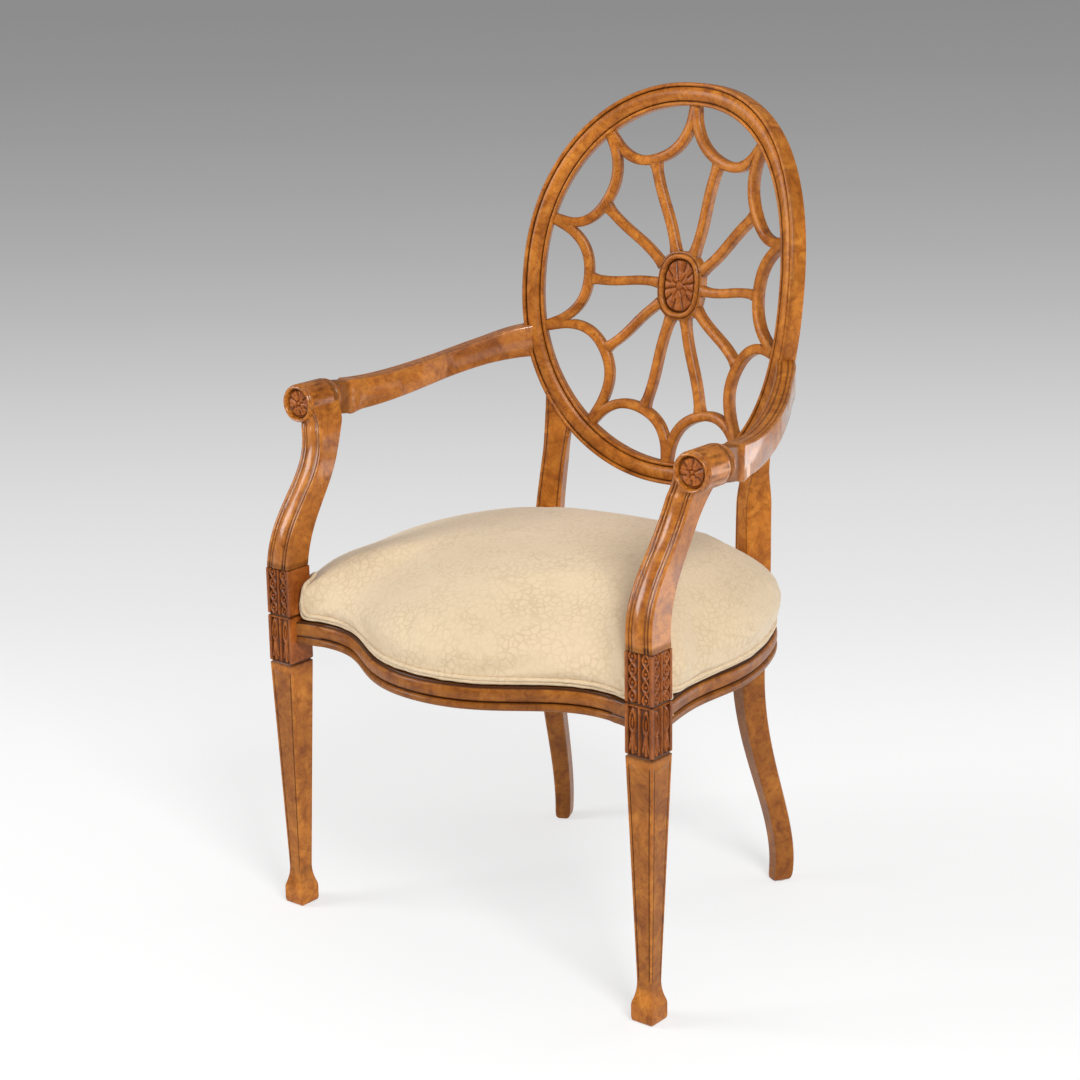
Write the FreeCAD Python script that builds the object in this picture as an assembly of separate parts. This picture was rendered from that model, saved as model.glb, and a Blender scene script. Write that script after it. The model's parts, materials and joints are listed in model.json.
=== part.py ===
# Armchair with an oval spider web back, swept arm supports and an upholstered seat.
# Millimetres, floor at z 0, front towards -y, mirrored about x 0.
import FreeCAD, Part
import math
import os

V = FreeCAD.Vector
UP = V(0, 0, 1)

# Front legs
LEG_X = 269.5
LEG_Y = -203.5
BLOCK = 37.0
BLOCK_TOP = 441.0
BLOCK_SPLIT = 381.0
BLOCK_LOW = 321.0
BLOCK_QUIRK = 2.0
TAPER_TOP = 37.0
ANKLE = 20.0
ANKLE_Z = 48.0
SPADE = 30.0
SPADE_Z = 13.0
SPADE_BAND = 18.0
TOE = 27.0

# Rear legs, each running up into the post of the back
REAR_FOOT_X = 174.5
REAR_FOOT_Y = 211.0
REAR_FOOT_WIDE = 20.0
REAR_FOOT_DEEP = 26.0
REAR_KICK = 0.4
REAR_KNEE = 0.17
REAR_X = 158.5
REAR_Y = 165.0
REAR_TURN = 25.8
POST_WIDE = 30.5
POST_DEEP = 32.5
POST_NECK_WIDE = 27.0
POST_TOP_WIDE = 36.0
POST_TOP_DEEP = 20.0
POST_JOIN = 219.0
POST_WAIST = 5.0
POST_EASE = 2.0
FOOT_LIFT = 110.0
KNEE_DROP = 130.0

# Oval back frame and its web
BACK_Y = 227.1
BACK_Z = 745.0
BACK_TILT = 8.1
BACK_RADIUS = 380.0
OVAL_HALF_WIDE = 201.6
OVAL_HALF_HIGH = 249.0
OVAL_POWER = 2.19
OVAL_FACE = 28.0
OVAL_THICK = 22.0
OVAL_BEAD = 4.0
OVAL_QUIRK = 1.0
OVAL_CROWN = 3.0
OVAL_EASE = 2.0
CREST_SPAN = 54.0
LOWER_SPAN = 62.5
WEB_NODES = (90.0, 127.5, 164.0, 195.5, 234.0, 270.0)
APEX_PLACE = (0.5, 0.5, 0.5, 0.54, 0.55)
APEX_REACH = (0.735, 0.735, 0.712, 0.69, 0.75)
WEB_RECESS = 5.0
WEB_THICK = 13.0
WEB_ROUND = 3.0
STUB = 14.0
SCALLOP = 11.0
SCALLOP_DROP = 0.62
SCALLOP_FLAT = 0.30
SPOKE = 11.0
SPOKE_SWAY = 2.6
SPOKE_WAVE = 0.4
BOSS_HALF_WIDE = 33.0
BOSS_HALF_HIGH = 43.0
BOSS_POWER = 2.5
BOSS_THICK = 17.0
BOSS_PROUD = 2.5
BOSS_RIM = 10.0
PATERA_DEEP = 6.0
BUTTON = 5.5

# Arm supports and scroll rolls
ROLL_X = 289.8
ROLL_Z = 628.5
ROLL_R = 23.5
ROLL_FRONT = -154.0
ROLL_LONG = 42.0
ROLL_BITE = 0.8
SUPPORT_WIDE = 36.0
SUPPORT_NECK = 33.0
SUPPORT_LEAN = 7.5
SUPPORT_RISE = 94.0
SUPPORT_SWEEP = 100.0
SUPPORT_FLARE = 25.0
SUPPORT_REED = 7.0
REED_CUT = 1.6
ROSETTE_R = 18.0
ROSETTE_DEEP = 5.0

# Arms
COLLAR_LONG = 15.0
COLLAR_BEAD = 1.6
ARM_WIDE = 24.0
ARM_END_WIDE = 19.0
ARM_NECK_WIDE = 19.0
ARM_HIGH = 44.0
ARM_END_HIGH = 41.0
ARM_EASE = 3.0
ARM_JOIN = -18.5
ARM_FRONT_REACH = 90.0
ARM_REAR_REACH = 100.0
ARM_DIP = 18.0
ARM_SPLAY = 0.10
ARM_END_X = 0.66
ARM_END_Y = -0.75
ARM_DROP = 13.0

# Seat rails
RAIL_LOW = 349.0
LIP_TOP = 374.0
RAIL_TOP = 404.0
RAIL_THICK = 24.0
LIP = 11.0
RAIL_COVE = 3.0
BOW_Y = -283.3
HOLLOW_X = 205.0
HOLLOW_Y = -205.5
SIDE_HOLLOW_X = 271.5
SIDE_HOLLOW_Y = -104.0
SIDE_BULGE_X = 274.5
SIDE_BULGE_Y = -38.0
REAR_RAIL_Y = 186.0

# Seat
BOARD_THICK = 12.0
BOARD_INSET = 16.0
CUSHION_HIGH = 119.0
CUSHION_WALL = 28.0
CUSHION_BULGE = 6.0
CUSHION_INSET = 6.0
CUSHION_CAP = 0.97
CROWN_SIDE = 0.833
CROWN_TOP = 1.176
CUSHION_MID_Y = 5.0
COVER_THICK = 2.0
WELT = 5.0
DUST_THICK = 1.0
DUST_INSET = 10.0
PAD_EASE = 2.5

# Joinery and hardware
FIT = 0.3
DOWEL_R = 4.0
DOWEL_LONG = 36.0
SPLINE_WIDE = 12.0
SPLINE_THICK = 6.0
SPLINE_LONG = 24.0
BRACE_LEG = 62.0
BRACE_LOW = 354.0
REAR_BRACE_SHARE = 0.72
SCREW_R = 2.2
SCREW_HEAD_R = 4.2
SCREW_LONG = 40.0
GLIDE_R = 7.0
GLIDE_THICK = 1.5
NAIL_R = 1.2
NAIL_LONG = 14.0

LEG_FRONT = LEG_Y - BLOCK / 2
ROLL_BACK = ROLL_FRONT + ROLL_LONG
LEAN = math.radians(BACK_TILT)
BACK_UP = V(0, math.sin(LEAN), math.cos(LEAN))
BACK_AHEAD = V(0, -math.cos(LEAN), math.sin(LEAN))
BACK_CENTRE = V(0, BACK_Y, BACK_Z)


def bezier(a, b, c, d, t):
    s = 1 - t
    return a * s**3 + b * (3 * s * s * t) + c * (3 * s * t * t) + d * t**3


def at_height(a, b, c, d, z):
    """Point of a rising cubic in the plane of (offset, height) at one height."""
    low, high = 0.0, 1.0
    for _ in range(50):
        mid = (low + high) / 2
        if bezier(a[1], b[1], c[1], d[1], mid) < z:
            low = mid
        else:
            high = mid
    return bezier(a[0], b[0], c[0], d[0], low)


def mix(a, b, t):
    return a + (b - a) * t


def ease(t):
    t = max(0.0, min(1.0, t))
    return t * t * (3 - 2 * t)


def section(origin, across, deep, outline):
    """Closed wire: (u, v) is a corner, (um, vm, u, v) an arc through (um, vm)."""

    def spot(u, v):
        return origin + across * u + deep * v

    start = last = spot(*outline[0])
    edges = []
    for step in outline[1:]:
        end = spot(*step[-2:])
        if len(step) == 4:
            edges.append(Part.Arc(last, spot(*step[:2]), end).toShape())
        else:
            edges.append(Part.LineSegment(last, end).toShape())
        last = end
    edges.append(Part.LineSegment(last, start).toShape())
    return Part.Wire(edges)


def loft(wires, ruled=False):
    return Part.makeLoft(wires, True, ruled)


def box(x0, y0, z0, x1, y1, z1):
    return Part.makeBox(x1 - x0, y1 - y0, z1 - z0, V(x0, y0, z0))


def rod(radius, start, end):
    axis = end - start
    return Part.makeCylinder(radius, axis.Length, start, axis)


def mirrored(shape):
    return shape.mirror(V(0, 0, 0), V(1, 0, 0))


def both(shape):
    return Part.makeCompound([shape, mirrored(shape)])


def back_frame(x, t, depth):
    """A place on the curved back: its point, the way across and the way into the depth."""
    turn = math.asin(x / BACK_RADIUS)
    deep = V(math.sin(turn), 0, 0) - BACK_AHEAD * math.cos(turn)
    across = V(math.cos(turn), 0, 0) + BACK_AHEAD * math.sin(turn)
    spot = BACK_CENTRE + BACK_AHEAD * BACK_RADIUS + BACK_UP * t + deep * (BACK_RADIUS + depth)
    return spot, across, deep


def on_back(x, t, depth, heading, outline):
    """Section on the curved back, its width along heading (dx, dt)."""
    spot, across, deep = back_frame(x, t, depth)
    return section(spot, across * heading[0] + BACK_UP * heading[1], deep, outline)


def full(value):
    """Cosine or sine raised so that the oval is a little fuller than an ellipse."""
    return math.copysign(abs(value) ** (2 / OVAL_POWER), value)


def oval_way(angle):
    a = math.radians(angle)
    return full(math.cos(a)), full(math.sin(a))


def oval_at(inset, angle):
    """Place on the oval in the plane of the back, drawn in from its outer edge."""
    x, t = oval_way(angle)
    return (OVAL_HALF_WIDE - inset) * x, (OVAL_HALF_HIGH - inset) * t


# Front leg: stacked squares from the toe of the spade foot up to the top of the block
def front_leg():
    waist = BLOCK - 2 * BLOCK_QUIRK
    levels = [
        (GLIDE_THICK, TOE),
        (SPADE_Z - SPADE_BAND / 2, SPADE),
        (SPADE_Z + SPADE_BAND / 2, SPADE),
        (ANKLE_Z, ANKLE),
        (BLOCK_LOW - BLOCK_QUIRK, TAPER_TOP),
        (BLOCK_LOW, waist),
        (BLOCK_LOW + BLOCK_QUIRK, BLOCK),
        (BLOCK_SPLIT - BLOCK_QUIRK, BLOCK),
        (BLOCK_SPLIT, waist),
        (BLOCK_SPLIT + BLOCK_QUIRK, BLOCK),
        (BLOCK_TOP - BLOCK_QUIRK, BLOCK),
        (BLOCK_TOP, waist),
    ]
    wires = []
    for z, side in levels:
        h = side / 2
        corners = [(-h, -h), (h, -h), (h, h), (-h, h)]
        wires.append(section(V(LEG_X, LEG_Y, z), V(1, 0, 0), V(0, 1, 0), corners))
    return loft(wires, True)


# Arm support: level sections between a front and a rear sweep, running into the roll
def support_section(z):
    bend = ROLL_Z - SUPPORT_SWEEP
    front = at_height((LEG_FRONT, BLOCK_TOP), (LEG_FRONT, BLOCK_TOP + SUPPORT_RISE),
                      (ROLL_FRONT, bend), (ROLL_FRONT, ROLL_Z), z)
    base_rear = LEG_FRONT + BLOCK
    rear = at_height((base_rear, BLOCK_TOP), (base_rear, BLOCK_TOP + SUPPORT_RISE * 0.84),
                     (ROLL_BACK - SUPPORT_NECK, bend), (ROLL_BACK, ROLL_Z), z)
    top_x = ROLL_X - ROLL_R + SUPPORT_NECK / 2 + ROLL_BITE
    x = at_height((LEG_X, BLOCK_TOP), (LEG_X - SUPPORT_LEAN, BLOCK_TOP + SUPPORT_RISE * 0.84),
                  (top_x - SUPPORT_FLARE, ROLL_Z - SUPPORT_SWEEP / 2), (top_x, ROLL_Z), z)
    share = (z - BLOCK_TOP) / (ROLL_Z - BLOCK_TOP)
    h = mix(SUPPORT_WIDE, SUPPORT_NECK, share) / 2
    reed = h - SUPPORT_REED
    cut = REED_CUT
    outline = [
        (-h, rear), (-h, front + cut), (-h + cut, front), (-reed - cut, front), (-reed, front + cut),
        (-reed + cut, front), (reed - cut, front), (reed, front + cut), (reed + cut, front),
        (h - cut, front), (h, front + cut), (h, rear),
    ]
    return section(V(x, 0, z), V(1, 0, 0), V(0, 1, 0), outline)


def arm_support():
    steps = 15
    wires = [support_section(mix(BLOCK_TOP, ROLL_Z, i / steps)) for i in range(steps + 1)]
    roll = rod(ROLL_R, V(ROLL_X, ROLL_FRONT, ROLL_Z), V(ROLL_X, ROLL_BACK, ROLL_Z))
    recess = rod(ROSETTE_R + FIT, V(ROLL_X, ROLL_FRONT - ROSETTE_DEEP, ROLL_Z),
                 V(ROLL_X, ROLL_FRONT + ROSETTE_DEEP, ROLL_Z))
    return loft(wires).fuse(roll).removeSplitter().cut(recess)


# Rosette: low dome with a button, seated in the front of the roll
def rosette():
    seat = ROLL_FRONT + ROSETTE_DEEP
    r = ROSETTE_R
    outline = [
        (0, 0), (r, 0), (r, -ROSETTE_DEEP * 0.6), (r * 0.62, -ROSETTE_DEEP, r * 0.26, -ROSETTE_DEEP * 0.7),
        (r * 0.18, -ROSETTE_DEEP, r * 0.06, -ROSETTE_DEEP * 1.15), (0, -ROSETTE_DEEP * 1.15),
    ]
    face = Part.Face(section(V(ROLL_X, seat, ROLL_Z), V(1, 0, 0), V(0, 1, 0), outline))
    return face.revolve(V(ROLL_X, seat, ROLL_Z), V(0, 1, 0), 360)


# Arm: collar of beads behind the roll, then a bowed band that ends on the oval's stile
def arm_path():
    join_x, join_t = oval_at(0, ARM_JOIN)
    wall, across, _ = back_frame(join_x, join_t, OVAL_THICK / 2)
    start = V(ROLL_X + 2, ROLL_BACK + COLLAR_LONG / 2, ROLL_Z)
    end = wall - across * (OVAL_FACE / 4)
    front_aim = start + V(ARM_SPLAY, 1, 0) * ARM_FRONT_REACH - UP * ARM_DIP
    rear_aim = end + V(ARM_END_X, ARM_END_Y, 0) * ARM_REAR_REACH - UP * ARM_DROP
    return start, front_aim, rear_aim, end


def arm_band():
    path = arm_path()
    wires = []
    steps = 12
    for i in range(steps + 1):
        t = i / steps
        spot = bezier(*path, t)
        ahead = bezier(*path, t + 0.001) - bezier(*path, t - 0.001)
        across = ahead.cross(UP).normalize()
        w = mix(mix(ARM_NECK_WIDE, ARM_WIDE, ease(t * 6)), ARM_END_WIDE, ease(t * 2 - 1)) / 2
        h = mix(ARM_HIGH, ARM_END_HIGH, t) / 2
        e = ARM_EASE
        reed = w / 3
        cut = REED_CUT
        outline = [
            (-w + e, -h), (-w, -h + e), (-w, h - e), (-w + e, h), (-reed - cut, h), (-reed, h - cut),
            (-reed + cut, h), (reed - cut, h), (reed, h - cut), (reed + cut, h), (w - e, h), (w, h - e),
            (w, -h + e), (w - e, -h),
        ]
        wires.append(section(spot, across, UP, outline))
    return loft(wires)


def arm(stile):
    step = COLLAR_LONG / 3
    r = ROLL_R
    outline = [(0, 0), (r - COLLAR_BEAD, 0), (r, step / 2, r - COLLAR_BEAD, step),
               (r - COLLAR_BEAD * 1.5, step * 1.5),
               (r - COLLAR_BEAD, step * 2, r - COLLAR_BEAD * 2, step * 2.5),
               (r - COLLAR_BEAD * 3, step * 3), (0, step * 3)]
    face = Part.Face(section(V(ROLL_X, ROLL_BACK, ROLL_Z), V(1, 0, 0), V(0, 1, 0), outline))
    collar = face.revolve(V(ROLL_X, ROLL_BACK, ROLL_Z), V(0, 1, 0), 360)
    return arm_band().fuse(collar).cut(stile)


# Rear leg and post: turned rectangles along a sabre sweep below and a waisted sweep above the seat
def rear_leg(lower):
    join_x, join_t = oval_at(0, POST_JOIN + 5)
    top, _, _ = back_frame(-join_x, join_t, OVAL_THICK / 2)
    top = top + BACK_UP * (OVAL_FACE / 2)
    below = [V(REAR_FOOT_X, REAR_FOOT_Y, GLIDE_THICK),
             V(mix(REAR_X, REAR_FOOT_X, 1 + REAR_KICK), mix(REAR_Y, REAR_FOOT_Y, 1 + REAR_KICK), FOOT_LIFT),
             V(mix(REAR_X, REAR_FOOT_X, -REAR_KNEE), mix(REAR_Y, REAR_FOOT_Y, -REAR_KNEE),
               RAIL_LOW - KNEE_DROP), V(REAR_X, REAR_Y, RAIL_LOW)]
    above = [V(REAR_X, REAR_Y, RAIL_TOP), V(REAR_X, REAR_Y + 2, mix(RAIL_TOP, top.z, 0.38)),
             V(top.x - POST_WAIST, top.y - 6, mix(RAIL_TOP, top.z, 0.68)), top]
    turn = math.radians(REAR_TURN)
    across = V(math.cos(turn), -math.sin(turn), 0)
    inward = V(math.sin(turn), math.cos(turn), 0)
    stations = [(bezier(*below, i / 8), mix(REAR_FOOT_WIDE, POST_WIDE, i / 8),
                 mix(REAR_FOOT_DEEP, POST_DEEP, ease(i / 8 * 1.3 - 0.3))) for i in range(9)]
    for i in range(9):
        neck = mix(POST_WIDE, POST_NECK_WIDE, ease(i / 5))
        stations.append((bezier(*above, i / 8), mix(neck, POST_TOP_WIDE, ease((i - 5) / 3)),
                         mix(POST_DEEP, POST_TOP_DEEP, ease((i - 4) / 3))))
    wires = []
    for spot, wide, deep_size in stations:
        w, d, c = wide / 2, deep_size / 2, POST_EASE
        outline = [(-w, -d + c), (-w + c, -d), (w - c, -d), (w, -d + c), (w, d - c), (w - c, d),
                   (-w + c, d), (-w, d - c)]
        wires.append(section(spot, across, inward, outline))
    return loft(wires).cut(lower)


def post_pin():
    """Upright dowel in the joint between the right post and the oval's lower segment."""
    x, t = oval_at(0, 540 - POST_JOIN)
    spot, _, _ = back_frame(x - POST_NECK_WIDE / 4, t, OVAL_THICK / 2)
    pin, hole = dowel(spot - BACK_UP * (DOWEL_LONG / 8), V(BACK_UP))
    return both(pin), hole


# Oval frame: one moulded section carried round the oval, cut into segments
def oval_segment(start, end):
    h, b, q = OVAL_FACE / 2, OVAL_BEAD, OVAL_QUIRK
    low, e, deep = OVAL_CROWN, OVAL_EASE, OVAL_THICK
    outline = [
        (-h + e, deep), (-h, deep - e), (-h, low), (-h + b / 2, low - b * 0.4, -h + b, low),
        (-h + b + q / 2, low + q), (-h + b + q, low), (0, 0, h - b - q, low), (h - b - q / 2, low + q),
        (h - b, low), (h - b / 2, low - b * 0.4, h, low), (h, deep - e), (h - e, deep),
    ]
    steps = 9
    wires = []
    for i in range(steps + 1):
        angle = mix(start, end, i / steps)
        x, t = oval_at(h, angle)
        wires.append(on_back(x, t, 0, oval_way(angle), outline))
    return loft(wires)


def spline_at(angle):
    """Loose tongue across one joint of the oval, longer along the oval than wide."""
    x, t = oval_at(OVAL_FACE / 2, angle)
    spot, across, deep = back_frame(x, t, OVAL_THICK / 2)
    out_x, out_t = oval_way(angle)
    wide = across * out_x + BACK_UP * out_t
    along = deep.cross(wide).normalize()
    wide = along.cross(deep).normalize()

    def slab(ease_by):
        w, d, n = SPLINE_WIDE / 2 + ease_by, SPLINE_THICK / 2 + ease_by, SPLINE_LONG / 2 + ease_by
        base = section(spot - along * n, wide, deep, [(-w, -d), (w, -d), (w, d), (-w, d)])
        return Part.Face(base).extrude(along * (2 * n))

    return slab(0), slab(FIT)


# Web members share one section: flat back and sides, rounded front
def web_outline(width):
    w = width / 2
    return [(-w, WEB_THICK), (-w, WEB_ROUND), (0, 0, w, WEB_ROUND), (w, WEB_THICK)]


def unit(x, t):
    size = math.hypot(x, t)
    return x / size, t / size


def node_angle(k):
    """Angle on the oval of a web node, counted from the top down the left half and up the right."""
    half = len(WEB_NODES) - 1
    return WEB_NODES[k] if k <= half else 540 - WEB_NODES[2 * half - k]


def apex(k):
    """Lowest place of a scallop's dip, mirrored from the left half to the right."""
    last = 2 * len(APEX_REACH) - 1
    j = min(k, last - k)
    near, far = (node_angle(k), node_angle(k + 1)) if j == k else (node_angle(k + 1), node_angle(k))
    x, t = oval_at(OVAL_FACE, mix(near, far, APEX_PLACE[j]))
    return APEX_REACH[j] * x, APEX_REACH[j] * t


def scallop_ends(k):
    """Both ends of a scallop on the frame: its place, the way inward and the way along the frame."""
    ends = []
    for side, angle in ((1, node_angle(k)), (-1, node_angle(k + 1))):
        rim = oval_at(OVAL_FACE, angle)
        ahead, behind = oval_at(OVAL_FACE, angle + 0.1), oval_at(OVAL_FACE, angle - 0.1)
        along = unit(ahead[0] - behind[0], ahead[1] - behind[1])
        start = V(rim[0] + side * along[0] * STUB / 4, rim[1] + side * along[1] * STUB / 4, 0)
        inward = V(-rim[0], -rim[1], 0).normalize()
        ends.append((start, inward, along))
    return ends


def scallop(k):
    ends = scallop_ends(k)
    mid = V(*apex(k), 0)
    chord = (ends[1][0] - ends[0][0]).normalize()
    dip = (mid - (ends[0][0] + ends[1][0]) / 2).Length
    span = (ends[1][0] - ends[0][0]).Length
    wires = []
    steps = 7
    for half in range(2):
        start, inward, along = ends[half]
        way = chord if half == 0 else -chord
        path = (start, start + inward * (dip * SCALLOP_DROP), mid - way * (span * SCALLOP_FLAT), mid)
        order = range(steps + 1) if half == 0 else range(steps - 1, -1, -1)
        for i in order:
            t = i / steps
            spot = bezier(*path, t)
            step = bezier(*path, t + 0.001) - bezier(*path, t - 0.001)
            if half == 1:
                step = -step
            heading = unit(-step.y, step.x)
            if i == 0:
                same = heading[0] * along[0] + heading[1] * along[1] > 0
                heading = along if same else (-along[0], -along[1])
            width = mix(STUB / 2, SCALLOP, ease(t * 2))
            wires.append(on_back(spot.x, spot.y, WEB_RECESS, heading, web_outline(width)))
    return loft(wires).common(wedge(k))


def wedge(k):
    """Sector of the back between two neighbouring nodes."""
    corners = [BACK_CENTRE]
    for angle in (node_angle(k), node_angle(k + 1)):
        x, t = oval_at(OVAL_FACE, angle)
        corners.append(BACK_CENTRE + (V(x, 0, 0) + BACK_UP * t) * 1.6)
    reach = BACK_AHEAD * OVAL_HALF_WIDE
    corners = [c - reach for c in corners]
    return Part.Face(Part.makePolygon(corners + corners[:1])).extrude(reach * 2)


def boss_reach(half_wide, half_high, x, t):
    """Distance from the middle of the boss to its rim along a unit direction."""
    p = BOSS_POWER
    return ((abs(x) / half_wide) ** p + (abs(t) / half_high) ** p) ** (-1 / p)


def oval_wire(half_wide, half_high, depth):
    """Outline of the boss, fuller than an ellipse, square to the middle of the back."""
    spot, across, _ = back_frame(0, 0, depth)
    places = []
    for i in range(24):
        x, t = math.cos(math.pi * i / 12), math.sin(math.pi * i / 12)
        reach = boss_reach(half_wide, half_high, x, t)
        places.append(spot + across * (x * reach) + BACK_UP * (t * reach))
    curve = Part.BSplineCurve()
    curve.interpolate(places, PeriodicFlag=True)
    return Part.Wire(curve.toShape())


def boss():
    front = WEB_RECESS - BOSS_PROUD
    _, _, deep = back_frame(0, 0, 0)
    plate = Part.Face(oval_wire(BOSS_HALF_WIDE, BOSS_HALF_HIGH, front)).extrude(deep * BOSS_THICK)
    pocket = Part.Face(oval_wire(BOSS_HALF_WIDE - BOSS_RIM, BOSS_HALF_HIGH - BOSS_RIM, front))
    return plate.cut(pocket.extrude(deep * PATERA_DEEP))


def patera():
    """Carved oval set in the boss, with a button at its middle."""
    rim = BOSS_RIM + FIT
    floor = WEB_RECESS - BOSS_PROUD + PATERA_DEEP
    _, _, deep = back_frame(0, 0, 0)
    wide, high = BOSS_HALF_WIDE - rim, BOSS_HALF_HIGH - rim
    dish = loft([oval_wire(wide, high, floor), oval_wire(wide, high, floor - PATERA_DEEP * 0.35),
                 oval_wire(wide * 0.62, high * 0.62, floor - PATERA_DEEP * 0.75)], True)
    spot, _, _ = back_frame(0, 0, floor - PATERA_DEEP * 0.4)
    return dish.fuse(rod(BUTTON, spot, spot - deep * (PATERA_DEEP * 0.55)))


def spoke(k):
    """S shaped member from the rim of the boss to the dip of a scallop, its ends parallel to both."""
    tip = V(*apex(k), 0)
    aim = unit(tip.x, tip.y)
    turn = SPOKE_SWAY / boss_reach(BOSS_HALF_WIDE, BOSS_HALF_HIGH, *aim)
    x, t = unit(aim[0] + aim[1] * turn, aim[1] - aim[0] * turn)
    ring = boss_reach(BOSS_HALF_WIDE, BOSS_HALF_HIGH, x, t)
    slope = BOSS_POWER - 1
    rim = unit(-math.copysign(abs(t * ring / BOSS_HALF_HIGH) ** slope / BOSS_HALF_HIGH, t),
               math.copysign(abs(x * ring / BOSS_HALF_WIDE) ** slope / BOSS_HALF_WIDE, x))
    chord = scallop_ends(k)[1][0] - scallop_ends(k)[0][0]
    dip = unit(chord.x, chord.y)
    start = V(x, t, 0) * (ring + FIT)
    end = tip + V(*dip, 0) * SPOKE_SWAY - V(dip[1], -dip[0], 0) * (SCALLOP / 2 + FIT)
    wave = V(-aim[1], aim[0], 0) * (SPOKE_SWAY * SPOKE_WAVE)
    steps = 8
    wires = []
    for i in range(steps + 1):
        s = i / steps
        spot = mix(start, end, s) - wave * math.sin(2 * math.pi * s)
        step = end - start - wave * (2 * math.pi * math.cos(2 * math.pi * s))
        heading = unit(-step.y, step.x)
        if i == 0:
            heading = rim
        if i == steps:
            heading = dip
        wires.append(on_back(spot.x, spot.y, WEB_RECESS, heading, web_outline(SPOKE)))
    return loft(wires)


# Seat rails: one moulded section carried along plan curves
def front_edge(share):
    """Plan point of the serpentine front, share -1 to 1 from leg to leg."""
    side = -1 if share < 0 else 1
    s = abs(share)
    end_x = LEG_X - BLOCK / 2 + 8
    if s < 0.75:
        spot = bezier(V(0, BOW_Y, 0), V(HOLLOW_X * 0.51, BOW_Y, 0), V(HOLLOW_X * 0.63, HOLLOW_Y, 0),
                      V(HOLLOW_X, HOLLOW_Y, 0), s / 0.75)
    else:
        spot = bezier(V(HOLLOW_X, HOLLOW_Y, 0), V(mix(HOLLOW_X, end_x, 0.4), HOLLOW_Y, 0),
                      V(mix(HOLLOW_X, end_x, 0.7), HOLLOW_Y - 3, 0), V(end_x, LEG_FRONT + 6, 0),
                      (s - 0.75) / 0.25)
    return V(side * spot.x, spot.y, 0)


def side_curve():
    """Plan curve of the right side, from inside the front leg block to inside the rear leg."""
    spots = [V(LEG_X + BLOCK / 2 - 1, LEG_Y + BLOCK / 2 - 12, 0), V(SIDE_HOLLOW_X, SIDE_HOLLOW_Y, 0),
             V(SIDE_BULGE_X, SIDE_BULGE_Y, 0),
             V(mix(SIDE_BULGE_X, REAR_X, 0.16), mix(SIDE_BULGE_Y, REAR_Y, 0.46), 0),
             V(mix(SIDE_BULGE_X, REAR_X, 0.5), mix(SIDE_BULGE_Y, REAR_Y, 0.83), 0),
             V(REAR_X + POST_WIDE * 0.6, REAR_Y + 4, 0)]
    curve = Part.BSplineCurve()
    curve.interpolate(spots)
    return curve


def side_edge(share):
    curve = side_curve()
    return curve.value(mix(curve.FirstParameter, curve.LastParameter, share))


RAIL_OUTLINE = [
    (RAIL_THICK, RAIL_LOW), (RAIL_COVE, RAIL_LOW), (0, RAIL_LOW + 3, RAIL_COVE, RAIL_LOW + 6),
    (RAIL_COVE + 1, RAIL_LOW + 7), (RAIL_COVE - 1, RAIL_LOW + 8), (0, LIP_TOP - 9, RAIL_COVE, LIP_TOP - 2),
    (RAIL_COVE + 2, LIP_TOP), (LIP, LIP_TOP), (LIP, RAIL_TOP), (RAIL_THICK, RAIL_TOP),
]


def rail_along(edge, low, high, steps, outline=RAIL_OUTLINE):
    """Moulding along a plan edge whose body lies to the left of travel."""
    wires = []
    for i in range(steps + 1):
        share = mix(low, high, i / steps)
        nudge = (high - low) * 0.002
        ahead = (edge(share + nudge) - edge(share - nudge)).normalize()
        inward = UP.cross(ahead)
        wires.append(section(edge(share), inward, UP, outline))
    return loft(wires)


def leg_block(ease_by):
    h = BLOCK / 2 + ease_by
    return box(LEG_X - h, LEG_Y - h, 0, LEG_X + h, LEG_Y + h, ROLL_Z)


def front_rail():
    rail = rail_along(front_edge, -1, 1, 24)
    return rail.cut(leg_block(0)).cut(mirrored(leg_block(0)))


def side_rail(post):
    rail = rail_along(side_edge, 0.01, 0.99, 14)
    return rail.cut(leg_block(0)).cut(post)


def rear_rail(post):
    rail = box(-REAR_X, REAR_RAIL_Y - RAIL_THICK, RAIL_LOW, REAR_X, REAR_RAIL_Y, RAIL_TOP)
    rail = rail.cut(box(-REAR_X, REAR_RAIL_Y - LIP, LIP_TOP, REAR_X, REAR_RAIL_Y, RAIL_TOP))
    rail = rail.cut(post).cut(mirrored(post))
    return max(rail.Solids, key=lambda solid: solid.Volume)


# Seat: plan outline from the rail edges, then board, stuffing, cover and welt
def drawn_in(edge, share, inset):
    ahead = (edge(share + 0.002) - edge(share - 0.002)).normalize()
    return edge(share) + UP.cross(ahead) * inset


def seat_outline(inset, scale, soften):
    """Plan points round the seat: drawn in from the rails, scaled, and eased towards an ellipse."""
    right = [drawn_in(front_edge, s, inset) for s in (0, 0.2, 0.4, 0.6, 0.75, 0.9)]
    right += [V(LEG_X - inset, LEG_Y + inset, 0)]
    right += [drawn_in(side_edge, s, inset) for s in (0.14, 0.28, 0.42, 0.56, 0.7, 0.84)]
    rear = REAR_RAIL_Y - inset
    right += [V(REAR_X + 6 - inset, rear - 6, 0), V(REAR_X * 0.6, rear, 0), V(0, rear, 0)]
    ring = right + [V(-p.x, p.y, 0) for p in right[-2:0:-1]]
    middle = V(0, CUSHION_MID_Y, 0)
    shaped = []
    for p in ring:
        reach = p - middle
        x, y = unit(reach.x, reach.y)
        round_reach = 1 / math.hypot(x / SIDE_BULGE_X, y / (REAR_RAIL_Y - CUSHION_MID_Y))
        shaped.append(middle + V(x, y, 0) * (mix(reach.Length, round_reach, soften) * scale))
    return shaped


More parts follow.
